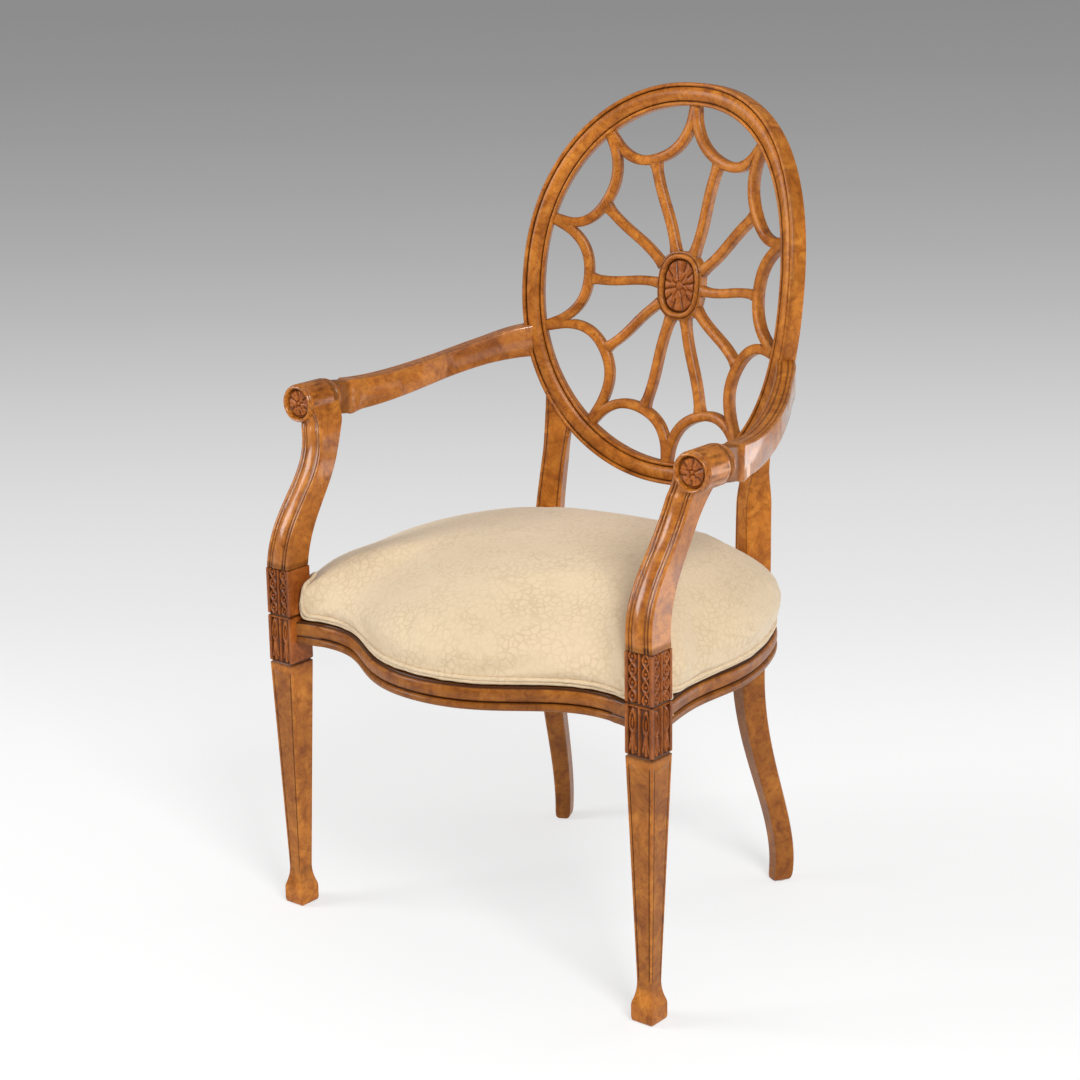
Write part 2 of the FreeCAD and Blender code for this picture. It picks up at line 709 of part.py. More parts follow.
def seat_wire(z, inset, scale=1.0, soften=0.0):
    curve = Part.BSplineCurve()
    curve.interpolate([V(p.x, p.y, z) for p in seat_outline(inset, scale, soften)], PeriodicFlag=True)
    return Part.Wire(curve.toShape())


def seat_slab(inset, low, high):
    return Part.Face(seat_wire(low, inset)).extrude(UP * (high - low))


def cushion_wires(shell):
    """Crowned form, shell inside the outer skin: straight at the welt, bulging wall, dome."""
    edge = CUSHION_INSET + shell
    widest = edge - CUSHION_BULGE
    top = CUSHION_HIGH - shell
    wires = [seat_wire(LIP_TOP + FIT, edge), seat_wire(LIP_TOP + FIT * 2 + WELT * 2, edge),
             seat_wire(LIP_TOP + CUSHION_WALL, widest)]
    rounds = 12
    for i in range(1, rounds + 1):
        a = math.pi / 2 * CUSHION_CAP * i / rounds
        reach = math.cos(a) ** CROWN_SIDE
        rise = math.sin(a) ** CROWN_TOP
        wires.append(seat_wire(LIP_TOP + mix(CUSHION_WALL, top, rise), widest, reach, 1 - reach))
    return wires


def cover():
    """Skin of the cushion, open underneath: two domes joined by a flat hem."""
    outer, inner = cushion_wires(0), cushion_wires(COVER_THICK)
    faces = [Part.Face([outer[0], inner[0]]), Part.Face(outer[-1]), Part.Face(inner[-1])]
    for wires in (outer, inner):
        faces += Part.makeLoft(wires, False, True).Faces
    skin = Part.makeShell(faces)
    skin.sewShape()
    solid = Part.makeSolid(skin)
    solid.fix(1e-4, 1e-5, 1e-3)
    return solid


def largest(shape):
    return max(shape.Solids, key=lambda solid: solid.Volume)


def clear_of(shape, pieces):
    for piece in pieces:
        shape = shape.cut(piece)
    return largest(shape)


def welt(post):
    """Double cord along the foot of the cover: front, both sides and rear."""
    back = CUSHION_INSET - FIT
    r = WELT / 2
    low = LIP_TOP + FIT
    outline = [(back, low), (back - r, low), (back - WELT, low + r, back - r, low + WELT),
               (back - WELT, low + WELT + r, back - r, low + 2 * WELT), (back, low + 2 * WELT)]
    form = loft(cushion_wires(0), True)

    def rear_edge(share):
        return V(-REAR_X * share, REAR_RAIL_Y, 0)

    front = rail_along(front_edge, -1, 1, 24, outline).cut(leg_block(0)).cut(mirrored(leg_block(0)))
    side = largest(rail_along(side_edge, 0.01, 0.99, 14, outline).cut(leg_block(0)).cut(post))
    rear = largest(rail_along(rear_edge, -1, 1, 2, outline).cut(post).cut(mirrored(post)))
    front, side, rear = [largest(strip.cut(form)) for strip in (front, side, rear)]
    return Part.makeCompound([front, side, mirrored(side), rear])


# Corner braces: triangular blocks cut to the rails they join
def prism(corners, low, high):
    spots = [V(x, y, low) for x, y in corners]
    return Part.Face(Part.makePolygon(spots + spots[:1])).extrude(UP * (high - low))


def front_brace(rails):
    corner_x, corner_y = LEG_X - BLOCK / 4, LEG_Y + BLOCK / 4
    corners = [(corner_x, corner_y), (corner_x, corner_y + BRACE_LEG), (corner_x - BRACE_LEG, corner_y)]
    block = prism(corners, BRACE_LOW, RAIL_TOP)
    for rail in rails:
        block = block.cut(rail)
    return largest(block.cut(leg_block(0)))


def rear_brace(rails, post):
    far = side_edge(REAR_BRACE_SHARE)
    inside = RAIL_THICK / 2
    block = prism([(REAR_X, REAR_RAIL_Y - inside), (REAR_X - BRACE_LEG, REAR_RAIL_Y - inside),
                   (far.x - inside, far.y), (far.x, far.y + inside)], BRACE_LOW, RAIL_TOP)
    for rail in rails:
        block = block.cut(rail)
    return largest(block.cut(post))


def screw(head, tip):
    """Pan head screw and the clearance hole of its shank."""
    way = (tip - head).normalize()
    body = rod(SCREW_R, head, tip).fuse(rod(SCREW_HEAD_R, head - way * SCREW_HEAD_R / 2, head))
    return body, rod(SCREW_R + FIT, head - way * SCREW_HEAD_R, tip + way * FIT)


# Dowels: each a rod with the hole that both of its pieces take
def dowel(middle, way):
    reach = way.normalize() * (DOWEL_LONG / 2)
    slack = way * FIT
    return rod(DOWEL_R, middle - reach, middle + reach), rod(DOWEL_R + FIT, middle - reach - slack,
                                                             middle + reach + slack)


def rail_dowels():
    """Dowels of the right half: front rail, side rail at both ends, rear rail."""
    pairs = []
    curve_end = side_edge(0.93)
    into_post = V(REAR_X - curve_end.x + RAIL_THICK * 0.6, REAR_Y - curve_end.y + RAIL_THICK * 0.3, 0)
    face = LEG_X - BLOCK / 2
    for share in (0.26, 0.7):
        z = mix(RAIL_LOW, LIP_TOP, share)
        pairs.append(("front", dowel(V(face, LEG_Y + 2, z), V(1, 0, 0))))
        rear_end = V(REAR_X - POST_WIDE * 0.65, REAR_RAIL_Y - RAIL_THICK / 2, z)
        pairs.append(("rear", dowel(rear_end, V(1, 0, 0))))
        pairs.append(("side", dowel(V(LEG_X + 4, LEG_Y + BLOCK / 2, z), V(0, 1, 0))))
        spot = V(REAR_X, REAR_Y, z) - into_post.normalize() * (POST_WIDE * 0.7)
        pairs.append(("side", dowel(spot, into_post)))
    return pairs


def glide(x, y):
    disc = rod(GLIDE_R, V(x, y, 0), V(x, y, GLIDE_THICK))
    nail = rod(NAIL_R, V(x, y, GLIDE_THICK), V(x, y, GLIDE_THICK + NAIL_LONG))
    return disc.fuse(nail), rod(NAIL_R + FIT, V(x, y, GLIDE_THICK), V(x, y, GLIDE_THICK + NAIL_LONG + FIT))


def build():
    nodes = {}
    high, low = 90 - CREST_SPAN, 90 - LOWER_SPAN
    oval = {
        "oval_crest": oval_segment(high, 180 - high),
        "oval_lower": oval_segment(180 + low, 360 - low),
        "oval_stile_right": oval_segment(-low, high),
        "oval_stile_left": oval_segment(180 - high, 180 + low),
    }
    leg = front_leg()
    support = arm_support()
    band = arm(oval["oval_stile_right"])
    post = rear_leg(oval["oval_lower"])

    # Web
    nodes["web_boss"] = boss()
    nodes["boss_patera"] = patera()
    for k in range(2 * len(APEX_REACH)):
        nodes["web_scallop_%02d" % (k + 1)] = scallop(k)
        nodes["web_spoke_%02d" % (k + 1)] = spoke(k)

    # Rails, braces and seat
    front = front_rail()
    flank = side_rail(post)
    back = rear_rail(post)
    braces = {"front": front_brace((front, flank)), "rear": rear_brace((flank, back), post)}
    legs = [leg_block(FIT), mirrored(leg_block(FIT)), post, mirrored(post)]
    rails = [front, flank, mirrored(flank), back]
    board = clear_of(seat_slab(BOARD_INSET, RAIL_TOP, RAIL_TOP + BOARD_THICK), legs)
    core = seat_slab(LIP - PAD_EASE, LIP_TOP - WELT, RAIL_TOP + BOARD_THICK)
    nodes["seat_pad"] = clear_of(loft(cushion_wires(COVER_THICK + FIT), True).cut(core), legs + rails)
    nodes["seat_cover"] = clear_of(cover(), legs + rails)
    nodes["seat_welt"] = welt(post)
    nodes["dust_cover"] = clear_of(seat_slab(DUST_INSET, RAIL_LOW - DUST_THICK, RAIL_LOW), legs)

    # Splines of the oval
    tongues = []
    for angle in (high, 180 - high, 180 + low, 360 - low):
        tongue, pocket = spline_at(angle)
        tongues.append(tongue)
        for name in oval:
            if oval[name].distToShape(tongue)[0] < FIT:
                oval[name] = oval[name].cut(pocket)
    nodes["oval_splines"] = Part.makeCompound(tongues)

    # Dowels of the rails
    rods = []
    for which, (pin, hole) in rail_dowels():
        rods += [pin, mirrored(pin)]
        leg = leg.cut(hole)
        post = post.cut(hole)
        if which == "front":
            front = front.cut(hole).cut(mirrored(hole))
        elif which == "side":
            flank = flank.cut(hole)
        else:
            back = back.cut(hole).cut(mirrored(hole))
    nodes["rail_dowels"] = Part.makeCompound(rods)

    # Dowels from leg to support, support to arm, arm to stile and post to oval
    pin_a, hole_a = dowel(V(LEG_X, LEG_Y, BLOCK_TOP), UP)
    pin_b, hole_b = dowel(V(ROLL_X, ROLL_BACK, ROLL_Z), V(0, 1, 0))
    leg = leg.cut(hole_a)
    support = support.cut(hole_a).cut(hole_b)
    _, _, rear_aim, end = arm_path()
    pin_c, hole_c = dowel(end, rear_aim - end)
    band = band.cut(hole_b).cut(hole_c)
    oval["oval_stile_right"] = oval["oval_stile_right"].cut(hole_c)
    oval["oval_stile_left"] = oval["oval_stile_left"].cut(mirrored(hole_c))
    nodes["arm_dowels"] = Part.makeCompound([both(pin) for pin in (pin_a, pin_b, pin_c)])
    nodes["post_dowels"], hole_d = post_pin()
    post = post.cut(hole_d)
    oval["oval_lower"] = oval["oval_lower"].cut(hole_d).cut(mirrored(hole_d))

    # Screws through the braces
    brace_screws, seat_screws = [], []
    for name, inward, reach in (("front", V(-1, 1, 0), 0.75), ("rear", V(-1, -1.2, 0), 0.5)):
        block = braces[name]
        centre = V(block.CenterOfMass.x, block.CenterOfMass.y, LIP_TOP + SCREW_HEAD_R * 2)
        tip = centre - inward.normalize() * (SCREW_LONG * reach)
        head = tip + inward * SCREW_LONG
        across_screw, hole = screw(head, tip)
        block = block.cut(hole).cut(rod(SCREW_HEAD_R + FIT, head, head + inward * SCREW_LONG))
        leg = leg.cut(hole)
        post = post.cut(hole)
        flank = flank.cut(hole)
        below = V(centre.x, centre.y, BRACE_LOW)
        spot = below + UP.cross(inward) * (SCREW_HEAD_R * 1.6)
        upright, hole = screw(spot, V(spot.x, spot.y, RAIL_TOP + BOARD_THICK * 0.8))
        block = block.cut(hole)
        board = board.cut(hole).cut(mirrored(hole))
        brace_screws.append(both(across_screw))
        seat_screws.append(both(upright))
        braces[name] = block
    nodes["brace_screws"] = Part.makeCompound(brace_screws)
    nodes["seat_screws"] = Part.makeCompound(seat_screws)
    nodes["seat_board"] = board

    # Glides
    shoes = []
    for x, y in ((LEG_X, LEG_Y), (REAR_FOOT_X, REAR_FOOT_Y)):
        shoe, hole = glide(x, y)
        shoes.append(both(shoe))
        leg = leg.cut(hole)
        post = post.cut(hole)
    nodes["foot_glides"] = Part.makeCompound(shoes)

    nodes.update(oval)
    nodes["front_rail"] = front
    nodes["rear_rail"] = back
    paired = {
        "front_leg": leg, "arm_support": support, "arm_rosette": rosette(), "arm": band, "rear_leg": post,
        "side_rail": flank, "front_brace": braces["front"], "rear_brace": braces["rear"],
    }
    for name, shape in paired.items():
        nodes[name + "_right"] = shape
        nodes[name + "_left"] = mirrored(shape)
    return nodes


def main():
    os.makedirs("parts", exist_ok=True)
    for name, shape in sorted(build().items()):
        shape.exportStep("parts/" + name + ".step")
        print(name, round(shape.Volume), shape.isValid(), len(shape.Solids))


main()
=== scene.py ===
import json
import math

import bmesh
import bpy
import numpy as np
from mathutils import Matrix, Vector
from mathutils.bvhtree import BVHTree


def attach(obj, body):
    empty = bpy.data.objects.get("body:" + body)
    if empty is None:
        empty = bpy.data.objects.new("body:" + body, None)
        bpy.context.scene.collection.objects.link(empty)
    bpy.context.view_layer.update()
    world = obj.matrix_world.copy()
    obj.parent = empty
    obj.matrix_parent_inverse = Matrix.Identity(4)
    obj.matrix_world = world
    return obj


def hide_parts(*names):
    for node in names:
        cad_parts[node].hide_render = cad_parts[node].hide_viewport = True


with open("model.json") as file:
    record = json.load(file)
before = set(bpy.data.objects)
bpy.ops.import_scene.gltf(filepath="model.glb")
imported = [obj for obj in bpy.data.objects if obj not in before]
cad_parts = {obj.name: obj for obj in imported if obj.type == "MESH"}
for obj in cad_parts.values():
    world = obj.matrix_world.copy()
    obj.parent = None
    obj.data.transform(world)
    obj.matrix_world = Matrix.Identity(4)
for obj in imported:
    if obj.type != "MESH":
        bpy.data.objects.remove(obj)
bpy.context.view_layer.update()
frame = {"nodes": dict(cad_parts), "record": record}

MM = 0.001
X, Y, Z = np.eye(3)
SIDES = (("right", 1), ("left", -1))
CORNERS = ((-1, -1), (1, -1), (1, 1), (-1, 1))

# Front legs, in millimetres as all lengths are unless a comment says otherwise
LEG_X, LEG_Y, BLOCK = 269.5, -203.5, 37.0
BLOCK_TOP, BLOCK_SPLIT, BLOCK_LOW = 441.0, 381.0, 321.0
CARVED_DEEP, STRIP_X, GLIDE = 3.0, 9.0, 1.5

# Rear legs: place at the seat, place of the foot, and the bends as (share of the way to the foot, height)
REAR_X, REAR_Y, REAR_TURN = 158.5, 165.0, math.radians(25.8)
REAR_FOOT = (174.5, 211.0)
FOOT_BEND, KNEE_BEND = (1.35, 92.0), (-0.55, 202.0)
POST_JOIN = 224.0
POST_HALF_WIDE, POST_HALF_DEEP = 15.25, 16.25

# Oval back and its web
BACK_TILT, BACK_RADIUS = math.radians(8.1), 380.0
BACK_CENTRE = np.array([0.0, 227.1, 745.0])
BACK_UP = np.array([0.0, math.sin(BACK_TILT), math.cos(BACK_TILT)])
BACK_AHEAD = np.array([0.0, -math.cos(BACK_TILT), math.sin(BACK_TILT)])
OVAL_WIDE, OVAL_HIGH, OVAL_POWER = 201.6, 249.0, 2.19
OVAL_FACE, OVAL_THICK, OVAL_TIP = 28.0, 22.0, 0.12
OVAL_SPANS = (("oval_crest", 36, 144), ("oval_lower", 207.5, 332.5),
              ("oval_stile_right", -27.5, 36), ("oval_stile_left", 144, 207.5))
BEAD_AT, QUIRK_AT, SWELL_HALF, MOULD_DEEP = 11.7, 8.8, 8.2, 3.2
WEB_NODES = (90.0, 127.5, 164.0, 195.5, 234.0, 270.0)
APEX_PLACE = (0.5, 0.5, 0.5, 0.54, 0.55)
APEX_REACH = (0.735, 0.745, 0.716, 0.68, 0.75)
WEB_RECESS, WEB_THICK = 5.0, 13.0
STUB, SCALLOP, SCALLOP_DROP, SCALLOP_FLAT = 14.5, 12.3, 0.62, 0.3
SPOKE, SPOKE_WAVE = 11.6, 1.5
SPOKE_LEAVES = (-0.3, 1.5, -0.8, -2.6, -1.5, -0.5, -2.3, -4.3, -4.2, -3.2)
SPOKE_ENDS = (6.2, 7.2, 3.8, -4.0, 0.8, 5.0, 5.4, -0.4, -1.8, 3.6)
BOSS_WIDE, BOSS_HIGH, BOSS_POWER, BOSS_RIM, BOSS_SPOTS = 33.0, 43.0, 2.5, 10.0, 144

# Arms, supports and rolls
ROLL_X, ROLL_Z, ROLL_R, ROLL_FRONT, ROLL_BACK, ROLL_SPOTS = 289.8, 628.5, 23.5, -154.0, -112.0, 96
ROSETTE_R, ROSETTE_SPOTS = 17.8, 120
COLLAR_LONG = 15.0
SUPPORT_LOW_WIDE, SUPPORT_TOP_WIDE = 36.0, 33.0
REED_OUT, REED_IN = 5.2, 9.0
ARM_JOIN = -18.5
ARM_LEAVES, ARM_ENDS = np.array([-2.0, 105.0, -25.0]), np.array([44.0, -55.0, -1.0])
ARM_HIGH = ((0.0, 44.0), (0.12, 43.5), (0.55, 35.0), (0.75, 35.5), (1.0, 41.0))

# Seat: rails, cushion as (rise, inset, flare) up its wall, welts
RAIL_LOW, LIP_TOP, RAIL_TOP, RAIL_DEEP = 349.0, 374.0, 404.0, 24.0
REAR_RAIL_Y, BOW_Y = 186.0, -283.3
HOLLOW_X, HOLLOW_Y, HOLLOW_SHARE = 205.0, -205.5, 0.75
BULGE_X, BULGE_Y = 274.5, -38.0
CUSHION_HIGH, CUSHION_MID_Y, CUSHION_LEAN = 110.0, 5.0, 0.042
CUSHION_WALL = ((0, 5.4, 2.5), (5, 5.4, 2.5), (11, 4.2, 5.0), (19, 0.2, 8.0), (30, -2.5, 10.5))
CUSHION_SHRINK, CUSHION_GRID = 3.0, 5.0
CLOTH = {"quality": 6, "mass": 0.3, "tension_stiffness": 18, "compression_stiffness": 18,
         "bending_stiffness": 0.8, "use_pressure": True, "uniform_pressure_force": 4.0,
         "vertex_group_mass": "pin"}
WELT_R, WELT_GAP = 2.5, 4.7

# Looks
# Painted shade: how far, and towards which near-black brown, the wood is darkened in recesses and shaded
# parts
WOOD_ROUGH, PAINTED_SHADE_DEPTH, PAINTED_SHADE_COLOUR = 0.34, 0.9, (0.05, 0.015, 0.005)
WHITE, SHADED = (1.0, 1.0, 1.0), (0.72, 0.66, 0.6)
FLOOR_HALF, FLOOR_FAR = 30.0, 17.0
# Painted falloff of light: the floor's grey by share of the way to FLOOR_FAR from the camera
FLOOR_GREYS = ((0.02, 1.0), (0.036, 0.98), (0.052, 0.93), (0.071, 0.863), (0.093, 0.799), (0.119, 0.716),
               (0.15, 0.645), (0.188, 0.565), (0.236, 0.485), (0.299, 0.418), (0.382, 0.367), (0.5, 0.323),
               (0.682, 0.287), (1.0, 0.264))
LAMPS = (("key", (2.5, -1.6, 2.6), (0, 0, 0.5), 1.2, 94),
         ("left", (-2.2, -2.0, 1.9), (0, 0, 0.5), 1.4, 54),
         ("low_right", (1.15, 1.5, 0.3), (0.3, 0, 0.6), 1.1, 10),
         ("top", (0, 0.4, 3.2), (0, 0, 0.4), 1.6, 11))
CAMERA_AT, CAMERA_LENS = (1.7358, -2.2176, 1.2762), 81.225
CAMERA_TURNS = ((38.70, "Z"), (90 - 15.97, "X"), (-0.85, "Z"))


# Materials
def material(name, rough, sheen=0.0, metal=0.0, specular=0.3):
    """New material with its node tree, the inputs of its shader and the place on the object."""
    made = bpy.data.materials.new(name)
    made.use_nodes = True
    tree = made.node_tree
    shader = tree.nodes["Principled BSDF"].inputs
    for key, value in (("Roughness", rough), ("Sheen Weight", sheen), ("Metallic", metal),
                       ("Coat Roughness", 0.12), ("Specular IOR Level", specular)):
        shader[key].default_value = value
    return made, tree, shader, node(tree, "TexCoord").outputs["Object"]


def node(tree, kind, links=None, **values):
    made = tree.nodes.new("ShaderNode" + kind)
    for key, value in values.items():
        if hasattr(made, key):
            setattr(made, key, value)
        else:
            made.inputs[key.replace("_", " ")].default_value = value
    for key, source in (links or {}).items():
        tree.links.new(source, made.inputs[key])
    return made


def noise(tree, place, scale, detail, **values):
    return node(tree, "TexNoise", {"Vector": place}, Scale=scale, Detail=detail, **values).outputs["Fac"]


def ramp(tree, source, stops):
    made = node(tree, "ValToRGB", {"Fac": source})
    elements = made.color_ramp.elements
    while len(elements) < len(stops):
        elements.new(0.5)
    for element, (place, colour) in zip(elements, stops):
        element.position = place
        element.color = (*colour, 1.0)
    return made.outputs["Color"]


def blend_colour(tree, how, amount, a, b):
    made = node(tree, "Mix", data_type="RGBA", blend_type=how)
    for socket, value in ((made.inputs[0], amount), (made.inputs[6], a), (made.inputs[7], b)):
        if isinstance(value, float):
            socket.default_value = value
        elif isinstance(value, tuple):
            socket.default_value = (*value, 1.0)
        else:
            tree.links.new(value, socket)
    return made.outputs[2]


def surface(tree, shader, colour, height, strength, distance):
    raised = node(tree, "Bump", {"Height": height}, Strength=strength, Distance=distance)
    tree.links.new(raised.outputs["Normal"], shader["Normal"])
    tree.links.new(colour, shader["Base Color"])


def wood(name, dark, middle, light):
    """Figured veneer under lacquer: burl clouds, dark veins, eyes and pores, with painted shade darkening the
    recesses.
    """
    made, tree, shader, place = material(name, WOOD_ROUGH, specular=0.25)
    slow = noise(tree, place, 13.0, 4.0, Distortion=1.2)
    burl = noise(tree, place, 44.0, 8.0, Roughness=0.62, Distortion=1.3)
    veins = noise(tree, place, 21.0, 6.0, Roughness=0.6, Distortion=2.6)
    eyes = node(tree, "TexVoronoi", {"Vector": place}, feature="SMOOTH_F1", Scale=150.0, Smoothness=0.7)
    colour = ramp(tree, burl, [(0.28, dark), (0.5, middle), (0.72, light)])
    for source, share, stops in (
            (slow, 1.0, [(0.3, SHADED), (0.62, (1.1, 1.1, 1.1))]),
            (veins, 0.75, [(0.465, WHITE), (0.5, (0.62, 0.52, 0.44)), (0.52, WHITE)]),
            (eyes.outputs["Distance"], 0.35, [(0.1, SHADED), (0.42, WHITE)])):
        colour = blend_colour(tree, "MULTIPLY", share, colour, ramp(tree, source, stops))
    # Painted shade: a per-vertex attribute darkens the colour in grooves, recesses, joins and parts that lie
    # in shade
    painted_shade = node(tree, "Attribute", attribute_name="painted_shade").outputs["Fac"]
    painted_shade = node(tree, "Math", {0: painted_shade}, operation="MULTIPLY", use_clamp=True)
    painted_shade.inputs[1].default_value = PAINTED_SHADE_DEPTH
    colour = blend_colour(tree, "MIX", painted_shade.outputs[0], colour, PAINTED_SHADE_COLOUR)
    polish = node(tree, "Attribute", attribute_name="polish").outputs["Fac"]
    tree.links.new(polish, shader["Coat Weight"])
    gloss = node(tree, "MapRange", {"Value": burl}, From_Min=0.3, From_Max=0.7,
                 To_Min=WOOD_ROUGH - 0.05, To_Max=WOOD_ROUGH + 0.08)
    tree.links.new(gloss.outputs["Result"], shader["Roughness"])
    surface(tree, shader, colour, noise(tree, place, 900.0, 2.0), 0.12, 0.0004)
    return made


def cloth(name, base, line):
    """Cream damask: wandering tan cells on a fine weave."""
    made, tree, shader, place = material(name, 0.85, sheen=0.25)
    drift = node(tree, "TexNoise", {"Vector": place}, Scale=70.0, Detail=2.0)
    moved = node(tree, "VectorMath", {0: drift.outputs["Color"]}, operation="SCALE", Scale=0.012)
    warped = node(tree, "VectorMath", {0: place, 1: moved.outputs[0]}, operation="ADD").outputs[0]
    cells = node(tree, "TexVoronoi", {"Vector": warped}, feature="DISTANCE_TO_EDGE", Scale=112.0)
    edge = ramp(tree, cells.outputs["Distance"], [(0.01, WHITE), (0.16, (0.0, 0.0, 0.0))])
    strength = node(tree, "MapRange", {"Value": noise(tree, place, 34.0, 2.0)},
                    From_Min=0.35, From_Max=0.65, To_Min=0.3, To_Max=1.0)
    lines = node(tree, "Math", {0: edge, 1: strength.outputs["Result"]}, operation="MULTIPLY").outputs[0]
    tone = ramp(tree, noise(tree, place, 7.0, 2.0), [(0.3, (0.95, 0.94, 0.92)), (0.7, (1.02, 1.02, 1.02))])
    colour = blend_colour(tree, "MULTIPLY", 1.0, blend_colour(tree, "MIX", lines, base, line), tone)
    weave = node(tree, "Math", {0: noise(tree, place, 1400.0, 1.0), 1: lines}, operation="SUBTRACT")
    surface(tree, shader, colour, weave.outputs[0], 0.25, 0.0006)
    return made


def plain(name, colours, scale, rough, metal=0.0):
    """Speckled surface for the pieces underneath."""
    made, tree, shader, place = material(name, rough, metal=metal)
    grain = noise(tree, place, scale, 4.0)
    surface(tree, shader, ramp(tree, grain, list(zip((0.35, 0.65), colours))), grain, 0.15, 0.0005)
    return made


FINISH = {
    "burl_wood": wood("burl_wood", (0.27, 0.074, 0.009), (0.46, 0.15, 0.017), (0.6, 0.23, 0.032)),
    "carved_wood": wood("carved_wood", (0.24, 0.06, 0.01), (0.36, 0.1, 0.016), (0.47, 0.15, 0.025)),
    "frame_wood": plain("frame_wood", ((0.42, 0.27, 0.14), (0.58, 0.41, 0.24)), 60.0, 0.7),
    "seat_fabric": cloth("seat_fabric", (0.73, 0.575, 0.385), (0.63, 0.48, 0.3)),
    "dust_cloth": plain("dust_cloth", ((0.012, 0.012, 0.012), (0.03, 0.03, 0.03)), 900.0, 0.95),
    "steel": plain("steel", ((0.42, 0.42, 0.41), (0.6, 0.6, 0.58)), 300.0, 0.35, 1.0)}
FINISH["stuffing"] = FINISH["seat_fabric"]
for part in frame["record"]["subparts"]:
    shown = frame["nodes"][part["node"]]
    shown.data.materials.clear()
    shown.data.materials.append(FINISH[part["material_slot"]])


# Numbers and curves
def ease(t):
    t = np.clip(t, 0.0, 1.0)
    return t * t * (3 - 2 * t)


def mix(a, b, t):
    return a + (b - a) * t


def ridge(x, middle, width):
    return np.exp(-((x - middle) / width) ** 2)


def turns(count):
    return np.linspace(0, 2 * math.pi, count, endpoint=False)


def unit(v):
    return v / np.linalg.norm(v, axis=-1, keepdims=True)


def slope(spots):
    return unit(np.gradient(spots, axis=0))


def inward_of(edge):
    return np.cross(Z, slope(edge))


def mirror(verts, sign=-1):
    return np.asarray(verts) * np.array([sign, 1.0, 1.0])


def bezier(path, t):
    a, b, c, d = [np.asarray(p, float) for p in path]
    t = np.asarray(t, float)[..., None]
    s = 1 - t
    return a * s**3 + b * (3 * s * s * t) + c * (3 * s * t * t) + d * t**3


def at_height(path, z):
    spots = bezier(path, np.linspace(0, 1, 400))
    return np.interp(z, spots[:, 1], spots[:, 0])


def spline(spots, count):
    """Natural cubic through a few places, by distance along them."""
    spots = np.asarray(spots, float)
    steps = np.concatenate([[0], np.cumsum(np.linalg.norm(np.diff(spots, axis=0), axis=1))])
    n = len(spots)
    h = np.diff(steps)
    matrix = np.eye(n)
    right = np.zeros_like(spots)
    for i in range(1, n - 1):
        matrix[i, i - 1:i + 2] = h[i - 1], 2 * (h[i - 1] + h[i]), h[i]
        right[i] = 6 * ((spots[i + 1] - spots[i]) / h[i] - (spots[i] - spots[i - 1]) / h[i - 1])
    bend = np.linalg.solve(matrix, right)
    out = []
    for s in np.linspace(0, steps[-1], count):
        i = min(max(int(np.searchsorted(steps, s)) - 1, 0), n - 2)
        a, b = (steps[i + 1] - s) / h[i], (s - steps[i]) / h[i]
        out.append(a * spots[i] + b * spots[i + 1]
                   + ((a**3 - a) * bend[i] + (b**3 - b) * bend[i + 1]) * h[i]**2 / 6)
    return np.array(out)


def sweep(rings):
    """Quads between closed sections, capped at both ends."""
    rings = np.asarray(rings, float)
    count, around, _ = rings.shape
    faces = []
    for a in range(0, (count - 1) * around, around):
        for j in range(around):
            k = (j + 1) % around
            faces.append((a + j, a + k, a + around + k, a + around + j))
    faces += [tuple(range(around)), tuple(range((count - 1) * around, count * around))]
    return rings.reshape(-1, 3), faces


def lathe(profile, place):
    """Closed shape of (radius, distance) turned about the line through a place, front to back."""
    a = turns(ROLL_SPOTS)
    round_way = np.outer(np.cos(a), X) + np.outer(np.sin(a), np.cross(Y, X))
    return sweep([np.asarray(place) + Y * h + round_way * r for r, h in profile])


# Meshes and pieces
def placed(name, data):
    obj = bpy.data.objects.new(name, data)
    bpy.context.scene.collection.objects.link(obj)
    return obj


def hold(mesh, name, values):
    layer = mesh.attributes.new(name, "FLOAT", "POINT")
    layer.data.foreach_set("value", np.asarray(values, np.float32).ravel())


def raw(name, verts, faces, painted_shade=None):
    """Object with its faces turned outward; the optional per-vertex values are painted shade, how dark each
    vertex is.
    """
    mesh = bpy.data.meshes.new(name)
    mesh.from_pydata((np.asarray(verts) * MM).tolist(), [], faces)
    if painted_shade is not None:
        hold(mesh, "painted_shade", painted_shade)
    work = bmesh.new()
    work.from_mesh(mesh)
    bmesh.ops.recalc_face_normals(work, faces=work.faces)
    work.to_mesh(mesh)
    work.free()
    return placed(name, mesh)


def dress(obj, slot, nodes=(), crease=35, polish=0.0):
    """Finish, body, slot and replaced nodes of a piece; polish is its shine outside the recesses."""
    obj.data.shade_smooth()
    obj.data.set_sharp_from_angle(angle=math.radians(crease))
    obj.data.materials.clear()
    obj.data.materials.append(FINISH[slot])
    if polish:
        shade = np.zeros(len(obj.data.vertices), np.float32)
        obj.data.attributes["painted_shade"].data.foreach_get("value", shade)
        hold(obj.data, "polish", polish * (1 - np.clip(shade * 2, 0, 1)))
    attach(obj, "root")
    if nodes:
        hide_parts(*nodes)
    return obj


def piece(name, shape, slot, nodes=(), painted_shade=None, crease=35):
    return dress(raw(name, *shape, painted_shade), slot, nodes, crease)


def both(name, shape, slot, node_name, painted_shade, crease=35):
    verts, faces = shape
    for side, sign in SIDES:
        piece(name + "_" + side, (mirror(verts, sign), faces), slot, (node_name + "_" + side,), painted_shade, crease)


def applied(obj):
    graph = bpy.context.evaluated_depsgraph_get()
    return bpy.data.meshes.new_from_object(obj.evaluated_get(graph))


def baked(name, obj, *others):
    """New object with the modifiers of an old one applied; the old one and the others go."""
    mesh = applied(obj)
    for old in (obj, *others):
        bpy.data.objects.remove(old)
    mesh.name = name
    return placed(name, mesh)


def combine(obj, other, operation):
    step = obj.modifiers.new(operation.lower(), "BOOLEAN")
    step.operation, step.solver, step.object = operation, "EXACT", other


